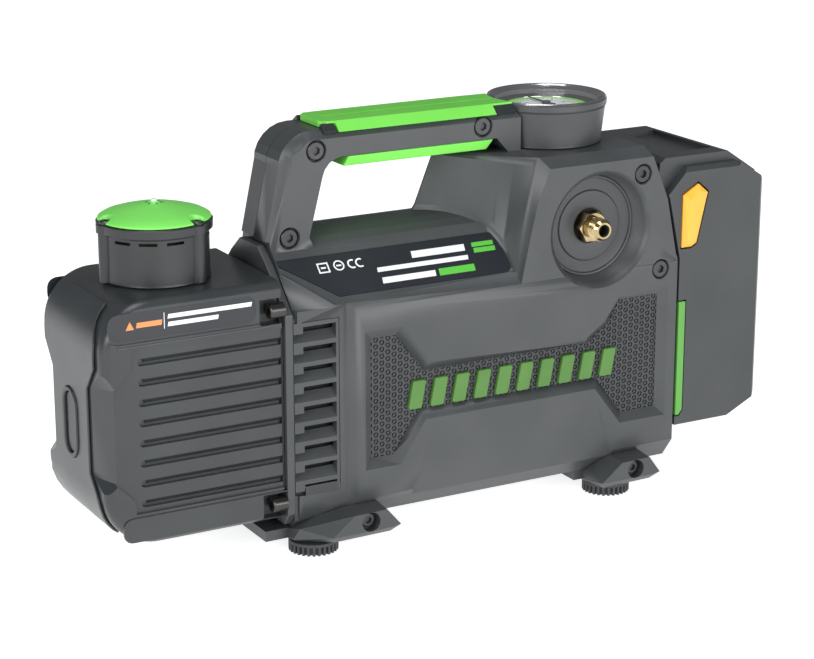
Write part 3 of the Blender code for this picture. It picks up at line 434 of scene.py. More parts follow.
SHADE_BLACK = surface("recess_shade", (0.002, 0.0025, 0.003), (0.004, 0.0045, 0.005), (0.60, 0.75))
LIME = surface("dial_lime", (0.26, 0.78, 0.10), (0.32, 0.84, 0.14), (0.42, 0.50), grain=900, bump=0.03)
PRINT_WHITE = surface("print_white", (0.72, 0.74, 0.75), (0.80, 0.82, 0.83), (0.40, 0.50), grain=900,
                      bump=0.03)
PRINT_GREEN = surface("print_green", (0.090, 0.44, 0.050), (0.105, 0.49, 0.060), (0.40, 0.50), grain=900,
                      bump=0.03)
PRINT_ORANGE = surface("print_orange", (0.76, 0.22, 0.06), (0.82, 0.26, 0.08), (0.40, 0.50), grain=900,
                       bump=0.03)

for part in frame["record"]["subparts"]:
    node = frame["nodes"][part["node"]]
    node.data.materials.clear()
    node.data.materials.append(LOOKS[part["material_slot"]])


# ---- repeated shapes


def build_placed_copies():
    """Geometry Nodes: a copy of a template on every point, its Z along `facing` and its X near `along`."""
    tree = bpy.data.node_groups.new("placed_copies", "GeometryNodeTree")
    sockets = {}
    for name, kind in (("Geometry", "NodeSocketGeometry"), ("Template", "NodeSocketObject"),
                       ("Size", "NodeSocketFloat"), ("Finish", "NodeSocketMaterial")):
        sockets[name] = tree.interface.new_socket(name, in_out="INPUT", socket_type=kind).identifier
    tree.interface.new_socket("Geometry", in_out="OUTPUT", socket_type="NodeSocketGeometry")
    given, result = tree.nodes.new("NodeGroupInput"), tree.nodes.new("NodeGroupOutput")
    template = tree.nodes.new("GeometryNodeObjectInfo")
    place = tree.nodes.new("GeometryNodeInstanceOnPoints")
    turns = []
    for attribute, axis, pivot in (("facing", "Z", "AUTO"), ("along", "X", "Z")):
        read = tree.nodes.new("GeometryNodeInputNamedAttribute")
        read.data_type = "FLOAT_VECTOR"
        read.inputs["Name"].default_value = attribute
        turn = tree.nodes.new("FunctionNodeAlignRotationToVector")
        turn.axis = axis
        turn.pivot_axis = pivot
        tree.links.new(read.outputs["Attribute"], turn.inputs["Vector"])
        turns.append(turn)
    real = tree.nodes.new("GeometryNodeRealizeInstances")
    paint = tree.nodes.new("GeometryNodeSetMaterial")
    link = tree.links.new
    link(given.outputs["Geometry"], place.inputs["Points"])
    link(given.outputs["Template"], template.inputs["Object"])
    link(template.outputs["Geometry"], place.inputs["Instance"])
    link(turns[0].outputs["Rotation"], turns[1].inputs["Rotation"])
    link(turns[1].outputs["Rotation"], place.inputs["Rotation"])
    link(given.outputs["Size"], place.inputs["Scale"])
    link(place.outputs["Instances"], real.inputs["Geometry"])
    link(real.outputs["Geometry"], paint.inputs["Geometry"])
    link(given.outputs["Finish"], paint.inputs["Material"])
    link(paint.outputs["Geometry"], result.inputs["Geometry"])
    return tree, sockets


COPIES, COPY_SOCKETS = build_placed_copies()


def repeated(name, template, places, slot, look=None, body="pump_body", smooth=35):
    """Copies of a template bmesh at (point, facing, along) places, as one plain mesh."""
    shape = plain("template", template)
    mesh = bpy.data.meshes.new(name)
    mesh.from_pydata([Vector(point) * MM for point, _, _ in places], [], [])
    for attribute, column in (("facing", 1), ("along", 2)):
        values = mesh.attributes.new(attribute, "FLOAT_VECTOR", "POINT")
        values.data.foreach_set("vector", [c for place in places for c in place[column]])
    obj = bpy.data.objects.new(name, mesh)
    bpy.context.scene.collection.objects.link(obj)
    nodes = obj.modifiers.new("copies", "NODES")
    nodes.node_group = COPIES
    for socket, value in (("Template", shape), ("Size", 1.0), ("Finish", look or LOOKS[slot])):
        nodes[COPY_SOCKETS[socket]] = value
    settle(obj)
    bpy.data.objects.remove(shape)
    for attribute in ("facing", "along"):
        if attribute in obj.data.attributes:
            obj.data.attributes.remove(obj.data.attributes[attribute])
    return finish_piece(obj, slot, look=look, body=body, smooth=smooth)


def socket_head(radius, height, hexagon):
    """Cap screw head with a chamfered rim and a hexagonal socket. Its top is at z = 0."""
    body = turned([(0, -height), (radius, -height), (radius, -0.5), (radius - 0.5, 0), (0, 0)], "z",
                  (0, 0, 0), 32)
    obj = plain("head", body)
    carve(obj, prism(arc(0, 0, hexagon, 0, 300, 5), "z", -0.6 * height, 1))
    bm = bmesh.new()
    bm.from_mesh(obj.data)
    bmesh.ops.scale(bm, verts=bm.verts, vec=(1000, 1000, 1000))
    bpy.data.objects.remove(obj)
    return bm


# ---- housing


CROWN, CROWN_FALL, CROWN_HALF = 147.2, 8.4, 20  # the deck's rounded top: height, fall and half width


def block_wall(side):
    """Curved left wall of the raised block, over a small fillet that follows the deck."""
    steps, columns = 24, []
    for k in range(steps + 1):
        t = k / steps
        weights = ((1 - t) ** 3, 3 * t * (1 - t) ** 2, 3 * t * t * (1 - t), t ** 3)
        x = sum(w * px for w, px in zip(weights, (-3.2, 18.0, 35.5, 34.3)))
        y = sum(w * py for w, py in zip(weights, (0.15, 9.0, 15.5, 37.2)))
        z = CROWN - CROWN_FALL * (y / CROWN_HALF) ** 2 if y < CROWN_HALF else SHOULDER + FACE + 0.2 - y
        crest = (9.3 + 36.4 * t, 0.15 + 36.65 * t, 175.9 - 3.1 * t)
        lift = 4.4 * (1 - 0.5 * t)
        ring = [(50, y, z - 3), (x, y, z - 3), (x, y, z), (x + 1.3, y + 0.35, z + 0.55 * lift),
                (x + 3.3, y + 0.8, z + 1.1 * lift), crest, (50, crest[1], crest[2])]
        columns.append([(px, side * py, pz) for px, py, pz in ring])
    return stacked(columns)


def counterbores(face, radius, out, places):
    """Cutters for screw heads that sink into a flat face, each with a small chamfer."""
    profile = [(0, face - 3.0), (radius, face - 3.0), (radius, face - 0.4), (radius + 0.4, face + 0.1),
               (radius + 0.4, out), (0, out)]
    return [turned(profile, "y", (x, 0, z), 40) for x, z in places]


def housing(name, side):
    """One clamshell half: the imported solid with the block's curved wall, counterbores and the vent bay."""
    obj = plain(f"housing_{name}_shell", solid_of(f"housing_{name}", whole=False))
    bores = counterbores(FACE, 5.0, 60, SCREWS_BLOCK) + counterbores(GRIP_FACE, 5.1, 30, SCREWS_HANDLE)
    carve(obj, block_wall(side), operation="UNION")
    carve(obj, faced(joined(*bores), side))
    carve(obj, box((BAY_LEFT - 2, side * 33.45, BAY_LOW), (BAY_RIGHT, side * 38.6, BAY_HIGH)))
    finish_piece(obj, "body_grey", [f"housing_{name}"], smooth=18)


LOUVRE_PITCH = 9.66
LOUVRE_TOPS = [33.3 + LOUVRE_PITCH * k for k in range(9)]
BAY_LEFT, BAY_RIGHT, BAY_LOW, BAY_HIGH = -85.4, -61.9, 28.3, 112.9


def louvres(name, side):
    """Grille between flange and step: nine slots, each with a chute that slopes in to it and a tab."""
    plate = box((BAY_LEFT + 0.02, side * 33.5, BAY_LOW + 0.02),
                (BAY_RIGHT - 0.02, side * 37.98, BAY_HIGH - 0.02))
    obj = plain(f"vent_louvres_{name}", plate)
    chutes, slots = [], []
    for top in LOUVRE_TOPS:
        section = [(side * 38.02, top - 7.2), (side * 34.2, top - 2.9), (side * 45, top - 2.9),
                   (side * 45, top - 7.2)]
        chutes.append(prism(section, "x", BAY_LEFT - 1, -63.3))
        slots.append(box((-80.4, side * 30, top - 3.0), (-63.3, side * 45, top + 0.3)))
    carve(obj, joined(*chutes))
    carve(obj, joined(*slots))
    finish_piece(obj, "body_grey", [f"vent_grille_{name}"], bevel=0.2)
    # A black sheet behind the slots: painted shade for the inside of the housing, not a part of the pump.
    shade = box((BAY_LEFT + 0.5, side * 31.0, 26), (-60.5, side * 30.0, 114))
    piece(f"vent_liner_{name}", shade, "trim_dark", look=SHADE_BLACK)


def inside(point, outline):
    found = False
    for (x1, z1), (x2, z2) in zip(outline, outline[1:] + outline[:1]):
        if (z1 > point[1]) != (z2 > point[1]) and point[0] < (x2 - x1) * (point[1] - z1) / (z2 - z1) + x1:
            found = not found
    return found


RING_COLUMN, RING_ROW = 3.3, 3.37  # pitch of the columns along X, and of the rows in one column
FIRST_RING = (-56, 32)


def ring_tile():
    """One cell of the texture, facing +Z: a hexagonal web round a groove, and the button inside it."""
    steps, top, web, button = 12, 0.0, 1.42, 0.80
    corners = [(RING_COLUMN * 0.66, 0), (RING_COLUMN * 0.34, RING_ROW / 2),
               (-RING_COLUMN * 0.34, RING_ROW / 2), (-RING_COLUMN * 0.66, 0),
               (-RING_COLUMN * 0.34, -RING_ROW / 2), (RING_COLUMN * 0.34, -RING_ROW / 2)]
    rim = []
    for i, corner in enumerate(corners):
        after = corners[(i + 1) % 6]
        rim += [corner, ((corner[0] + after[0]) / 2, (corner[1] + after[1]) / 2)]
    hole = arc(0, 0, web, 0, 330, steps - 1)
    bm = bmesh.new()
    rings = [[bm.verts.new((x, y, z)) for x, y in loop]
             for loop, z in ((rim, -0.7), (rim, top), (hole, top), (hole, -0.7))]
    for lower, upper in zip(rings, rings[1:] + rings[:1]):
        for i in range(steps):
            j = (i + 1) % steps
            bm.faces.new((lower[i], lower[j], upper[j], upper[i]))
    bmesh.ops.recalc_face_normals(bm, faces=bm.faces)
    knob = turned([(0, -0.7), (button, -0.7), (button - 0.15, 0.05), (0, 0.1)], "z", (0, 0, 0), 8)
    return joined(bm, knob)


def texture_panel(name, side):
    outline = inset(PANEL_RIM, 4.6)
    deep = FACE - PANEL_DEPTH
    plate = prism(inset(outline, 0.2), "y", side * (deep - 1.5), side * (deep - 0.6))
    piece(f"texture_base_{name}", plate, "textured_dark", [f"texture_panel_{name}"], look=LOOKS["trim_dark"])
    reach = inset(outline, -0.9)
    places = []
    for column in range(60):
        x = FIRST_RING[0] + RING_COLUMN * column
        for row in range(28):
            z = FIRST_RING[1] + RING_ROW * (row + 0.5 * (column % 2))
            if inside((x, z), reach):
                places.append(((x, side * deep, z), (0, side, 0), (1, 0, 0)))
    repeated(f"ring_texture_{name}", ring_tile(), places, "textured_dark", smooth=30)


def emblem(name, side):
    """Ten slanted bars with rounded edges, set across the panel."""
    deep = FACE - PANEL_DEPTH
    bars = []
    for k in range(10):
        left = -26 + 12.1 * k
        outline = softened([(left, 62.2), (left + 7.4, 62.2), (left + 10.2, 76.4), (left + 2.8, 76.4)], 1.3)
        bars.append(prism(outline, "y", side * (deep - 0.9), side * (deep + 1.9)))
    piece(f"emblem_bars_{name}", joined(*bars), "emblem_green", [f"emblem_{name}"], bevel=0.7, segments=3,
          angle=40)


def deck_label(name, side):
    """Film on the deck slope, with plain printed bars and marks."""
    corners = [(-60.2, 8), (34.2, 8), (33.4, 30.6), (-84.6, 30.6), (-84.6, 27.8)]
    outline = corners[:1] + arc(28.9, 13.2, 5.2, -90, 0, 6) + corners[2:]
    piece(f"deck_film_{name}", deck_plate(outline, side, -0.3, 0.25), "label_film", [f"deck_label_{name}"],
          bevel=0.1)

    def bar(x0, x1, low, high, slant=0.5):
        return deck_plate([(x0, low), (x1, low), (x1 + slant, high), (x0 + slant, high)], side, 0.2, 0.32)

    def bow(x, up, radius, width, start, end):
        outer, inner = arc(x, up, radius, start, end, 16), arc(x, up, radius - width, start, end, 16)
        return deck_plate(outer + inner[::-1], side, 0.2, 0.32)

    white = [bar(-16, 13.2, 22.5, 26.2), bar(-36.5, 13.0, 17.6, 20.0), bar(-36, -7.3, 11.2, 14.4)]
    square = [bar(-65.9, -60.1, 25.9, 26.6, 0), bar(-65.9, -60.1, 21.1, 21.8, 0),
              bar(-65.9, -65.2, 21.8, 25.9, 0), bar(-60.8, -60.1, 21.8, 25.9, 0),
              bar(-64.3, -61.7, 23.4, 24.3, 0)]
    round_mark = [bow(-54.8, 24.1, 2.8, 0.7, 0, 179), bow(-54.8, 24.1, 2.8, 0.7, 180, 359),
                  bar(-56.1, -53.5, 23.7, 24.5, 0)]
    bows = [bow(-47.8, 24.0, 2.5, 0.8, 60, 300), bow(-43.6, 24.0, 2.5, 0.8, 60, 300)]
    piece(f"deck_print_{name}", joined(*white, *square, *round_mark, *bows), "label_film", look=PRINT_WHITE)
    green = [bar(17.5, 29.4, 23.9, 26.3), bar(17.5, 29.4, 20.6, 23.2), bar(-5.3, 14.3, 11.0, 14.8)]
    piece(f"deck_print_green_{name}", joined(*green), "label_film", look=PRINT_GREEN)


def port_dish(name, side):
    """Floor of the round recess: a rim lip, a shallow dish and a raised disc round the opening."""
    floor = FACE - 12.0
    opening = 8.9 if side < 0 else 15.0
    profile = [(opening, floor - 0.2), (opening, floor + 1.0), (17.4, floor + 1.2), (18.0, floor + 0.2),
               (23.6, floor + 0.6), (24.0, floor + 1.6), (24.9, floor + 1.8), (25.35, floor + 1.4),
               (25.35, floor - 0.2)]
    dish = turned(softened(profile, 0.35), "y", PORT_CENTRE, 96)
    piece(f"port_dish_{name}", faced(dish, side), "body_grey")


# ---- handle and gauge


def grips():
    top = plain("grip_top_rubber", solid_of("grip_top"))
    carve(top, box((-50, -0.9, 199.5), (45, 0.9, 202)))
    finish_piece(top, "grip_green", ["grip_top"], bevel=0.45)
    piece("grip_lower_rubber", solid_of("grip_lower"), "grip_green", ["grip_lower"], bevel=0.6)
    gaps = []
    for side in (-1, 1):
        section = [(side * 11.2, 197.2), (side * 12.4, 199.3), (side * 16.8, 196.3), (side * 15, 194)]
        gaps += [prism(section, "x", x0, x1) for x0, x1 in ((-57.5, -50.6), (36.2, 47))]
    piece("grip_end_shade", joined(*gaps), "trim_dark", bevel=0.2)


DIAL = 194.2  # height of the printed dial


def gauge():
    """Conical cup with a straight collar, a polished funnel inside it, the dial, its hand and the lens."""
    centre = (GAUGE_X, 0, 0)
    cup = [(22, 177.1), (27.2, 177.1), (27.5, 177.5), (27.4, 178.3), (29.25, 194.5), (29.75, 195.2),
           (29.95, 195.7), (29.95, 198.2), (29.6, 198.9), (29.2, 198.9), (26.4, 195.3), (26.4, 186),
           (22, 186)]
    piece("gauge_cup_shell", turned(cup, "z", centre, 128), "body_grey", ["gauge_cup"], smooth=20)
    funnel = [(29.6, 198.9), (29.45, 199.35), (29.0, 199.6), (28.5, 199.4), (27.9, 198.7), (26.1, 195.6),
              (25.8, 194.8), (26.3, 194.8), (29.0, 198.6)]
    piece("gauge_bezel_ring", turned(funnel, "z", centre, 128), "bezel_metal", ["gauge_bezel"], smooth=50)
    dish = [(2.0, DIAL - 2), (26.2, DIAL - 2), (26.2, DIAL + 0.9), (25.4, DIAL + 0.9), (22.6, DIAL - 0.2),
            (20.4, DIAL - 0.2), (2.0, DIAL - 0.4)]
    piece("gauge_dial_dish", turned(dish, "z", centre, 96), "dial", look=BOLT_STEEL)
    lime = [(2.0, DIAL - 0.6), (20.3, DIAL - 0.6), (20.3, DIAL + 0.05), (2.0, DIAL + 0.05)]
    piece("gauge_dial_lime", turned(lime, "z", centre, 96), "dial", look=LIME)
    card = [(2.0, DIAL - 0.3), (15.9, DIAL - 0.3), (15.9, DIAL + 0.12), (2.0, DIAL + 0.12)]
    piece("gauge_dial_card", turned(card, "z", centre, 96), "dial", ["gauge_dial"])
    ticks = []
    for k in range(31):
        turn = math.radians(-45 + 9 * k)
        ticks.append((around(GAUGE_X, 14.2, turn, DIAL + 0.16), (0, 0, 1), around(0, 1, turn, 0)))
    fine = box((-0.9, -0.11, -0.05), (0.9, 0.11, 0.03))
    broad = box((-1.8, -0.22, -0.05), (0.9, 0.22, 0.04))
    repeated("dial_ticks_fine", fine, ticks, "dial", look=LOOKS["needle_black"])
    repeated("dial_ticks_broad", broad, ticks[::5], "dial", look=LOOKS["needle_black"])
    digits = []
    for k in range(7):
        turn = math.radians(225 - 45 * k)
        digits.append(number(str(5 * k), around(GAUGE_X, 10.3, turn, DIAL + 0.15), 2.8))
    piece("dial_numbers", joined(*digits), "dial", look=LOOKS["needle_black"])
    edge = [(20.2, DIAL - 0.2), (20.9, DIAL - 0.2), (20.8, DIAL + 0.2), (20.3, DIAL + 0.2)]
    piece("gauge_dial_edge", turned(edge, "z", centre, 96), "dial", look=LOOKS["bezel_metal"])
    hub = [(0, DIAL + 0.6), (2.2, DIAL + 0.6), (2.4, DIAL + 0.9), (2.1, DIAL + 1.7), (1.2, DIAL + 1.9),
           (0, DIAL + 1.9)]
    arrow = [(-1.0, -1), (-1.7, -6.2), (0, -6.8), (1.7, -6.2), (1.0, -1), (0.3, 16.5), (-0.3, 16.5)]
    hand = prism([(GAUGE_X + x, y) for x, y in arrow], "z", DIAL + 0.8, DIAL + 1.3)
    piece("gauge_hand", joined(turned(hub, "z", centre, 48), hand), "needle_black", ["gauge_needle"],
          body="needle", bevel=0.08)
    lens = [(0, 197.2), (25.6, 196.8), (25.6, 197.3), (12, 197.8), (0, 197.9)]
    piece("gauge_lens_glass", turned(lens, "z", centre, 96), "gauge_glass", ["gauge_lens"])


def number(text, centre, height):
    """A numeral as a flat solid, centred on a point and upright when seen from the front."""
    curve = bpy.data.curves.new("numeral", "FONT")
    curve.body = text
    curve.size = height
    curve.extrude = 0.02
    curve.align_x = "CENTER"
    curve.align_y = "CENTER"
    curve.resolution_u = 3
    obj = bpy.data.objects.new("numeral", curve)
    bpy.context.scene.collection.objects.link(obj)
    bpy.context.view_layer.update()
    graph = bpy.context.evaluated_depsgraph_get()
    mesh = bpy.data.meshes.new_from_object(obj.evaluated_get(graph), depsgraph=graph)
    bm = bmesh.new()
    bm.from_mesh(mesh)
    bmesh.ops.remove_doubles(bm, verts=bm.verts, dist=0.001)
    bmesh.ops.translate(bm, verts=bm.verts, vec=centre)
    bpy.data.objects.remove(obj)
    return bm


# ---- inlet, button


def inlet():
    """Brass flare fitting: chamfered hexagon, neck, threaded end and flared nose round the bore."""
    hexagon = arc(PORT[0], PORT[1], 8.1, 0, 300, 5)
    obj = plain("flare_fitting", prism(hexagon, "y", -35.4, -28.6))
    crown = turned([(0, -40), (3.0, -40), (7.0, -35.4), (8.2, -34.6), (9.5, -34.6), (9.5, -28), (0, -28)],
                   "y", PORT_CENTRE, 48)
    carve(obj, crown, operation="INTERSECT")
    thread = [(5.6 if k % 2 else 5.05, -42.2 + 0.32 * k) for k in range(14)]
    stem = [(0, -29), (4.9, -29), (4.9, -37.3), *reversed(thread), (5.3, -42.6), (4.1, -44.2), (0, -44.2)]
    carve(obj, turned(stem, "y", PORT_CENTRE, 64), operation="UNION")
    carve(obj, turned([(0, -50), (3.2, -50), (3.2, -44.0), (2.9, -43.4), (2.9, -20), (0, -20)], "y",
                      PORT_CENTRE, 48))
    finish_piece(obj, "fitting_brass", ["inlet_fitting"], smooth=30)
    # Black tube inside the bore: painted shade, so that the bore reads dark.
    bore_shade_tube = [(0, -36), (3.25, -36), (3.25, -43.7), (2.75, -43.7), (2.75, -38), (0, -38)]
    piece("fitting_bore_shade", turned(bore_shade_tube, "y", PORT_CENTRE, 48), "fitting_brass", look=SHADE_BLACK)
    # Black ring behind the hexagon: painted shade in the hollow round the fitting.
    well_shade_ring = [(5.2, -28.3), (8.8, -28.3), (8.8, -27.6), (5.2, -27.6)]
    piece("fitting_well", turned(well_shade_ring, "y", PORT_CENTRE, 48), "trim_dark", look=SHADE_BLACK)


def power_button():
    ring = softened([(8.5, 30.4), (14.6, 30.4), (14.2, 32.4), (9.6, 33.5), (8.5, 33.4)], 0.4)
    piece("button_surround", turned(ring, "y", PORT_CENTRE, 96), "bezel_metal", ["button_ring"])
    cap = [(0, 24), (8.0, 24), (8.0, 34.4), (7.8, 34.9), (7.1, 35.35), (3.0, 35.0), (0, 34.8)]
    piece("button_cap", turned(cap, "y", PORT_CENTRE, 96), "button_green", ["power_button"], body="button")
    mark = joined(turned([(2.2, 34.5), (2.9, 34.5), (2.9, 35.25), (2.2, 35.2)], "y", PORT_CENTRE, 48),
                  box((PORT[0] - 0.35, 34.5, PORT[1] + 1.6), (PORT[0] + 0.35, 35.3, PORT[1] + 4.2)))
    piece("button_mark", mark, "button_green", look=PRINT_WHITE, body="button")


# ---- oil tank


TANK_LEFT, TANK_RIGHT, TANK_LOW, TANK_HIGH = -179.6, -91.2, 18.0, 134.0
SIGHT_Z = 70.5
TANK_RIM = 5.6  # radius where the sides turn into the top, end and bottom


def rolled_bar(side, x0, x1, z, radius, stand):
    """A half-round bar along X."""
    section = [(side * (stand + radius * math.sin(math.radians(a))), z + radius * math.cos(math.radians(a)))
               for a in range(0, 181, 20)]
    section += [(side * (stand - 1), z - radius), (side * (stand - 1), z + radius)]
    return prism(section, "x", x0, x1)


def oil_tank():
    end = TANK_RIGHT + 12
    outline = (arc(TANK_LEFT + 24, TANK_HIGH - 24, 24, 180, 90, 20) + [(end, TANK_HIGH), (end, TANK_LOW)]
               + arc(TANK_LEFT + 26, TANK_LOW + 26, 26, 270, 180, 20))
    half = []
    for k in range(7):
        turn = math.radians(15 * k)
        half.append((TANK_HALF - TANK_RIM * (1 - math.sin(turn)), TANK_RIM * (1 - math.cos(turn))))
    levels = [(-y, run) for y, run in reversed(half)] + half
    obj = plain("oil_tank_shell", stacked([[(x, y, z) for x, z in inset(outline, run)] for y, run in levels]))
    carve(obj, box((TANK_RIGHT, -60, 0), (TANK_RIGHT + 30, 60, 160)))
    space = [(-174, 42), (-168, 30), (-156, 24), (TANK_RIGHT + 5, 24), (TANK_RIGHT + 5, 128.5), (-157, 128.5),
             (-168, 123), (-174, 112)]
    carve(obj, prism(space, "y", -30, 30))
    for side in (-1, 1):
        face = TANK_HALF - 1.5
        field = [(-175, 50), (-166, 41), (-165.6, 34.4), (-80, 34.4), (-80, 112), (-165.2, 112),
                 (-166.4, 103), (-175, 94)]
        carve(obj, prism(field, "y", side * face, side * 50))
        corner = hull([(-190, side * 21, 51), (-190, side * 21, 93), (-180.5, side * 21, 93),
                       (-180.5, side * 21, 51), (-173.2, side * 39, 94), (-173.2, side * 39, 50),
                       (-190, side * 39, 104), (-190, side * 39, 44), (-179.8, side * 36, 104),
                       (-179.8, side * 36, 44)])
        carve(obj, corner)
        grooves = []
        for k in range(8):
            ledge = 36.6 + 9.59 * k
            section = [(side * (face + 3), ledge), (side * (face - 2.3), ledge + 0.15),
                       (side * (face - 2.3), ledge + 1.2), (side * (face - 1.3), ledge + 2.5),
                       (side * (face + 0.02), ledge + 3.6), (side * (face + 3), ledge + 3.6)]
            groove = prism(section, "x", -160.6, TANK_RIGHT + 5)
            tip = turned([(0, face - 2.3), (1.5, face - 2.3), (2.05, face + 3), (0, face + 3)], "y",
                         (-160.6, 0, ledge + 1.9), 24)
            grooves += [groove, faced(tip, side)]
        carve(obj, joined(*grooves[0::2]))
        carve(obj, joined(*grooves[1::2]))
        band = softened([(-177.4, 115.2), (-60, 115.2), (-60, 130.4), (-177.4, 130.4)], 7.5, 8)
        carve(obj, prism(band, "y", side * (TANK_HALF - 0.9), side * 50))
        lower = softened([(-172.4, 20.5), (-60, 20.5), (-60, 33.0), (-172.4, 33.0)], 6.0, 8)
        carve(obj, prism(inset(lower, -0.45), "y", side * (TANK_HALF - 0.8), side * 50))
        raised = prism(inset(lower, 0.45), "y", side * (TANK_HALF - 1.4), side * (TANK_HALF - 0.1))
        carve(obj, raised, operation="UNION")
        carve(obj, joined(*[box((-102, side * 31.5, z - 6), (-80, side * 50, z + 6)) for z in BOLT_HEIGHTS]))
    carve(obj, joined(turned([(0, 120), (17, 120), (17, 140), (0, 140)], "z", (CAP_X, 0, 0), 64),
                      turned([(0, 10), (6.3, 10), (6.3, 30), (0, 30)], "z", (DRAIN_X, 0, 0), 32)))
    carve(obj, prism(slot_outline(6.2, 15.1), "x", -190, -170))
    finish_piece(obj, "tank_grey", ["oil_tank"], bevel=0.45, segments=2, angle=26)
    for name, side in SIDES.items():
        lip = rolled_bar(side, -172, -97, 113.5, 0.9, TANK_HALF - 0.6)
        piece(f"tank_lip_{name}", lip, "tank_grey", smooth=50)
        film = softened([(-176.2, 116.4), (-103.5, 116.4), (-103.5, 129.2), (-176.2, 129.2)], 6.4, 8)
        piece(f"tank_band_{name}", prism(film, "y", side * (TANK_HALF - 1.1), side * (TANK_HALF - 0.75)),
              "tank_grey", look=LOOKS["label_film"], bevel=0.1)
        tank_print(name, side)


def tank_print(name, side):
    """Generic marks on the tank's band: an orange bar, a divider and two pale lines."""
    out, deep = side * (TANK_HALF - 0.62), side * (TANK_HALF - 0.8)

    def bar(x0, x1, low, high, slant=0.4):
        return prism([(x0, low), (x1, low), (x1 + slant, high), (x0 + slant, high)], "y", deep, out)

    triangle = prism([(-167.6, 121.5), (-163.6, 121.5), (-165.6, 125.3)], "y", deep, out)
    orange = joined(triangle, bar(-162.6, -150.4, 122.0, 124.4))
    piece(f"tank_print_orange_{name}", orange, "tank_grey", look=PRINT_ORANGE)
    white = joined(bar(-149.2, -148.9, 120.0, 127.4, 0), bar(-147.4, -106.2, 124.4, 126.4),
                   bar(-147.4, -122.8, 120.8, 122.8))
    piece(f"tank_print_white_{name}", white, "tank_grey", look=PRINT_WHITE)


def slot_outline(half_width, half_height):
    """Upright slot with round ends, about the sight glass's centre."""
    top = arc(0, SIGHT_Z + half_height - half_width, half_width, 0, 180, 18)
    return top + [(-y, 2 * SIGHT_Z - z) for y, z in top]


def tank_trim():
    piece("tank_end_plate", solid_of("tank_end_panel"), "tank_grey", ["tank_end_panel"], bevel=0.4)
    ring = plain("sight_glass_frame", prism(slot_outline(9.1, 17.0), "x", -182.0, -179.9))
    carve(ring, prism(slot_outline(5.9, 14.8), "x", -190, -170))
    finish_piece(ring, "trim_dark", ["sight_glass_ring"], bevel=0.7, segments=3)
    piece("sight_glass_window", prism(slot_outline(5.6, 14.5), "x", -180.9, -178.4), "sight_glass",
          ["sight_glass"], bevel=0.6, segments=3)
    plug = softened([(0, 15.0), (4.5, 15.0), (8.0, 15.4), (8.0, 17.7), (6.0, 17.7), (6.0, 26), (0, 26)], 0.3)
    piece("drain_plug_turned", turned(plug, "z", (DRAIN_X, 0, 0), 64), "plug_steel", ["drain_plug"])


# ---- exhaust and cap


COLUMN_RING = 24.0  # radius of the circle that the cup's columns and their screws stand on


def exhaust():
    centre = (CAP_X, 0, 0)
    wall = [(16.6, 127), (16.6, 134.3), (24.8, 134.3), (25.3, 134.9), (25.0, 136.0), (25.0, 156.4),
            (25.4, 157.1), (26.7, 157.5), (26.8, 161.2), (26.3, 161.6), (23.6, 161.6), (22.4, 156),
            (22.4, 137), (13.6, 137), (13.6, 127)]
    obj = plain("exhaust_cup_shell", turned(wall, "z", centre, 128))
    column = [(0, 134.6), (3.6, 134.6), (3.6, 157.4), (4.4, 157.6), (4.4, 161.2), (0, 161.2)]
    for turn in CAP_TURNS:
        carve(obj, turned(column, "z", around(CAP_X, COLUMN_RING, turn, 0), 32), operation="UNION")
    slots = []
    for third in range(3):
        for step in (-29, 0, 29):
            slot = box((19, -4.2, 154.0), (29, 4.2, 155.4))
            turn = Matrix.Rotation(math.radians(120 * third + step), 4, "Z")
            bmesh.ops.transform(slot, matrix=Matrix.Translation(centre) @ turn, verts=slot.verts)
            slots.append(slot)
    carve(obj, joined(*slots))
    finish_piece(obj, "trim_dark", ["exhaust_cup"], bevel=0.25, smooth=30)
    cap = [(0, 158.4), (20.8, 158.4), (20.8, 161.9), (25.7, 161.9), (26.1, 162.3), (25.8, 162.9),
           (23.5, 164.2), (20, 165.3), (15, 166.6), (10, 167.6), (5, 168.4), (2.4, 168.8), (2.0, 169.3),
           (0, 169.5)]
    cover = plain("oil_cap_cover", turned(cap, "z", centre, 128))
    scoop = [(0, 161.5), (4.3, 161.5), (4.9, 164), (5.6, 175), (0, 175)]
    scoops = [turned(scoop, "z", around(CAP_X, 25.4, a, 0), 32) for a in CAP_TURNS]
    carve(cover, joined(*scoops))
    finish_piece(cover, "cap_green", ["oil_cap"], body="cap", bevel=0.35, segments=3, smooth=30)
    nub = softened([(0, 169.0), (1.5, 169.0), (1.5, 170.2), (1.0, 170.5), (0, 170.5)], 0.2)
    piece("oil_cap_nub", turned(nub, "z", centre, 32), "cap_green", look=PRINT_WHITE, body="cap")
    marks = [(around(CAP_X, 3.4, a, 168.78), around(0, 0.15, a, 1), around(0, 1, a, 0))
             for a in (math.radians(30 + 60 * k) for k in range(6))]
    repeated("oil_cap_marks", box((-0.7, -0.15, -0.1), (0.7, 0.15, 0.12)), marks, "cap_green",
             look=LOOKS["trim_dark"], body="cap")
    heads = [(around(CAP_X, COLUMN_RING, a, 163.0), (0, 0, 1), (1, 0, 0))
             for a in CAP_TURNS]
    repeated("cup_screws", socket_head(2.9, 2.4, 1.4), heads, "trim_dark", look=SCREW_BLACK, smooth=30)


# ---- battery, feet, screws


def battery():
    piece("battery_shell", solid_of("battery_case"), "battery_grey", ["battery_case"], body="battery",
          bevel=0.7, segments=3)
    for name, side in SIDES.items():
        piece(f"battery_light_{name}", solid_of(f"battery_strip_{name}"), "strip_green",
              [f"battery_strip_{name}"], body="battery", bevel=0.35)
        latch(name, side)


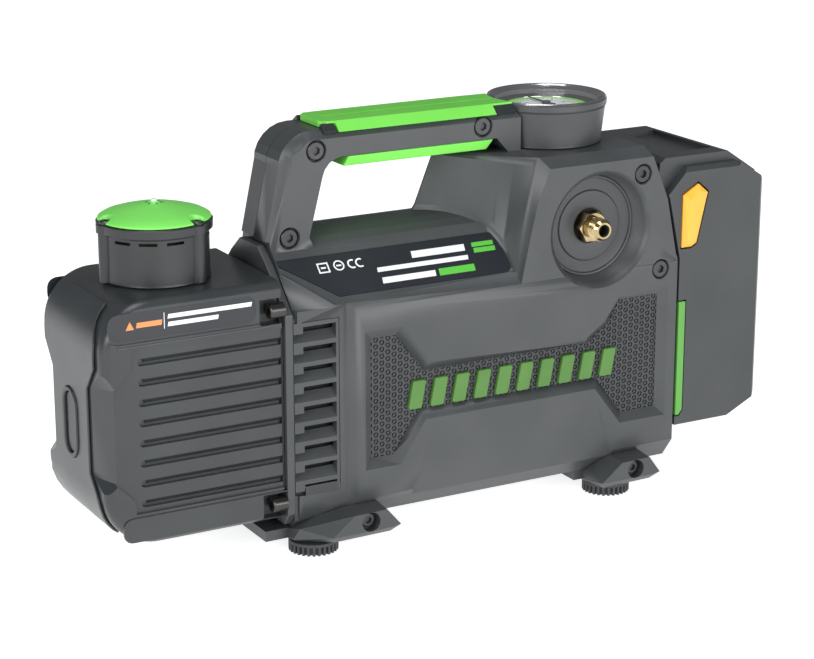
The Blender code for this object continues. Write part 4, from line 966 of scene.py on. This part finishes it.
def latch(name, side):
    """Wedge button with a ridge near its left edge and a slanted top facet."""
    base = [(129.6, 150.0), (138.7, 155.2), (144.4, 150.3), (138.5, 125.0), (135.2, 123.2), (129.6, 123.2)]
    crest = [(132.6, 147.6), (138.9, 151.6), (141.4, 149.4), (137.0, 127.0), (134.9, 125.6), (131.6, 125.4)]
    rise = [45.0, 43.9, 43.2, 43.4, 44.0, 45.0]
    points = [(x, side * y, z) for x, z in base for y in (37.4, 42.2)]
    points += [(x, side * y, z) for (x, z), y in zip(crest, rise)]
    piece(f"latch_button_{name}", hull(points), "latch_orange", [f"battery_latch_{name}"],
          body=f"latch_{name}", bevel=0.22, segments=2, angle=12, smooth=12)


def feet():
    for name in ("left", "right"):
        piece(f"foot_bracket_{name}", solid_of(f"foot_bar_{name}"), "foot_grey", [f"foot_bar_{name}"],
              bevel=0.5)
    corners = [(x, y) for x in (-75.4, 91.3) for y in (-36.0, 36.0)]
    for index, (x, y) in enumerate(corners, 1):
        profile = softened([(0, 0), (9.4, 0), (10.4, 1.2), (10.4, 4.2), (11.9, 4.6), (11.9, 6.1), (4.6, 6.1),
                            (4.6, 9.2), (0, 9.2)], 0.3)
        pad = turned(profile, "z", (x, y, 0), 72)
        teeth = [((x + 10.9 * math.cos(a), y + 10.9 * math.sin(a), 2.9), (0, 0, 1),
                  (math.cos(a), math.sin(a), 0))
                 for a in (2 * math.pi * k / 28 for k in range(28))]
        piece(f"foot_pad_{index}", pad, "foot_rubber", [f"rubber_foot_{index}"])
        tooth = softened([(-0.9, -0.75), (1.05, -0.55), (1.05, 0.55), (-0.9, 0.75)], 0.2, 2)
        repeated(f"foot_teeth_{index}", prism(tooth, "z", -2.5, 2.9), teeth, "foot_rubber")


def screws():
    """Socket screws of the housing and handle, those of the brackets, and the flange bolts."""
    for name, side in SIDES.items():
        out = (0, side, 0)
        places = [((x, side * (FACE - 0.5), z), out, (1, 0, 0.3)) for x, z in SCREWS_BLOCK]
        places += [((x, side * (GRIP_FACE - 0.5), z), out, (1, 0, 0.5)) for x, z in SCREWS_HANDLE]
        repeated(f"housing_screws_{name}", socket_head(4.45, 2.4, 2.2), places, "body_grey", look=SCREW_BLACK,
                 smooth=30)
        places = [((x, side * 48.6, z), out, (1, 0, 0.3)) for x, z in SCREWS_BRACKET]
        repeated(f"bracket_screws_{name}", socket_head(3.6, 2.0, 1.9), places, "foot_grey", look=SCREW_BLACK,
                 smooth=30)
        places = [((-97.4, side * 36.4, z), (-1, 0, 0), (0, 0, 1)) for z in BOLT_HEIGHTS]
        repeated(f"flange_bolts_{name}", socket_head(3.7, 7.4, 2.0), places, "tank_grey", look=BOLT_STEEL,
                 smooth=30)


def flange():
    """Mounting flange with softer edges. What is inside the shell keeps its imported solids."""
    piece("flange_plate", solid_of("pump_flange"), "body_grey", ["pump_flange"], bevel=0.5)


# ---- scene


def studio():
    bm = bmesh.new()
    bmesh.ops.create_grid(bm, x_segments=1, y_segments=1, size=9.0)
    mesh = bpy.data.meshes.new("floor")
    bm.to_mesh(mesh)
    floor = bpy.data.objects.new("floor", mesh)
    bpy.context.scene.collection.objects.link(floor)
    pale = bpy.data.materials.new("floor_pale")
    pale.use_nodes = True
    shader = pale.node_tree.nodes["Principled BSDF"]
    shader.inputs["Base Color"].default_value = (0.86, 0.86, 0.86, 1)
    shader.inputs["Roughness"].default_value = 0.9
    shader.inputs["Specular IOR Level"].default_value = 0.1
    shader.inputs["Emission Color"].default_value = (1, 1, 1, 1)
    shader.inputs["Emission Strength"].default_value = 0.78
    floor.data.materials.append(pale)

    world = bpy.data.worlds.new("studio")
    world.use_nodes = True
    world.node_tree.nodes["Background"].inputs["Color"].default_value = (0.92, 0.96, 1.0, 1)
    world.node_tree.nodes["Background"].inputs["Strength"].default_value = 0.20
    bpy.context.scene.world = world

    def area(name, location, target, size, power, color=(1, 1, 1)):
        light = bpy.data.lights.new(name, "AREA")
        light.shape = "RECTANGLE"
        light.size, light.size_y = size
        light.energy = power
        light.color = color
        obj = bpy.data.objects.new(name, light)
        obj.location = location
        obj.rotation_euler = (Vector(target) - Vector(location)).to_track_quat("-Z", "Y").to_euler()
        bpy.context.scene.collection.objects.link(obj)

    area("top_soft", (-0.3, -0.2, 1.9), (0, 0, 0), (1.0, 0.8), 12)
    area("front_fill", (0.3, -1.9, 0.55), (0, 0, 0.12), (1.9, 0.7), 27)
    area("left_key", (-1.7, -0.9, 0.8), (-0.1, 0, 0.10), (0.8, 0.9), 17)

    lens = bpy.data.cameras.new("view")
    lens.lens = 101.8
    lens.sensor_width = 36
    lens.sensor_fit = "HORIZONTAL"
    camera = bpy.data.objects.new("view", lens)
    camera.location = (-0.5343, -0.9498, 0.4108)
    camera.rotation_euler = (math.radians(73.52), 0, math.radians(-29.16))
    bpy.context.scene.collection.objects.link(camera)
    bpy.context.scene.camera = camera


def main():
    bpy.context.scene.view_settings.view_transform = "Standard"
    studio()
    for name, side in SIDES.items():
        housing(name, side)
        louvres(name, side)
        texture_panel(name, side)
        emblem(name, side)
        deck_label(name, side)
        port_dish(name, side)
    grips()
    gauge()
    inlet()
    power_button()
    oil_tank()
    tank_trim()
    exhaust()
    battery()
    feet()
    screws()
    flange()


main()
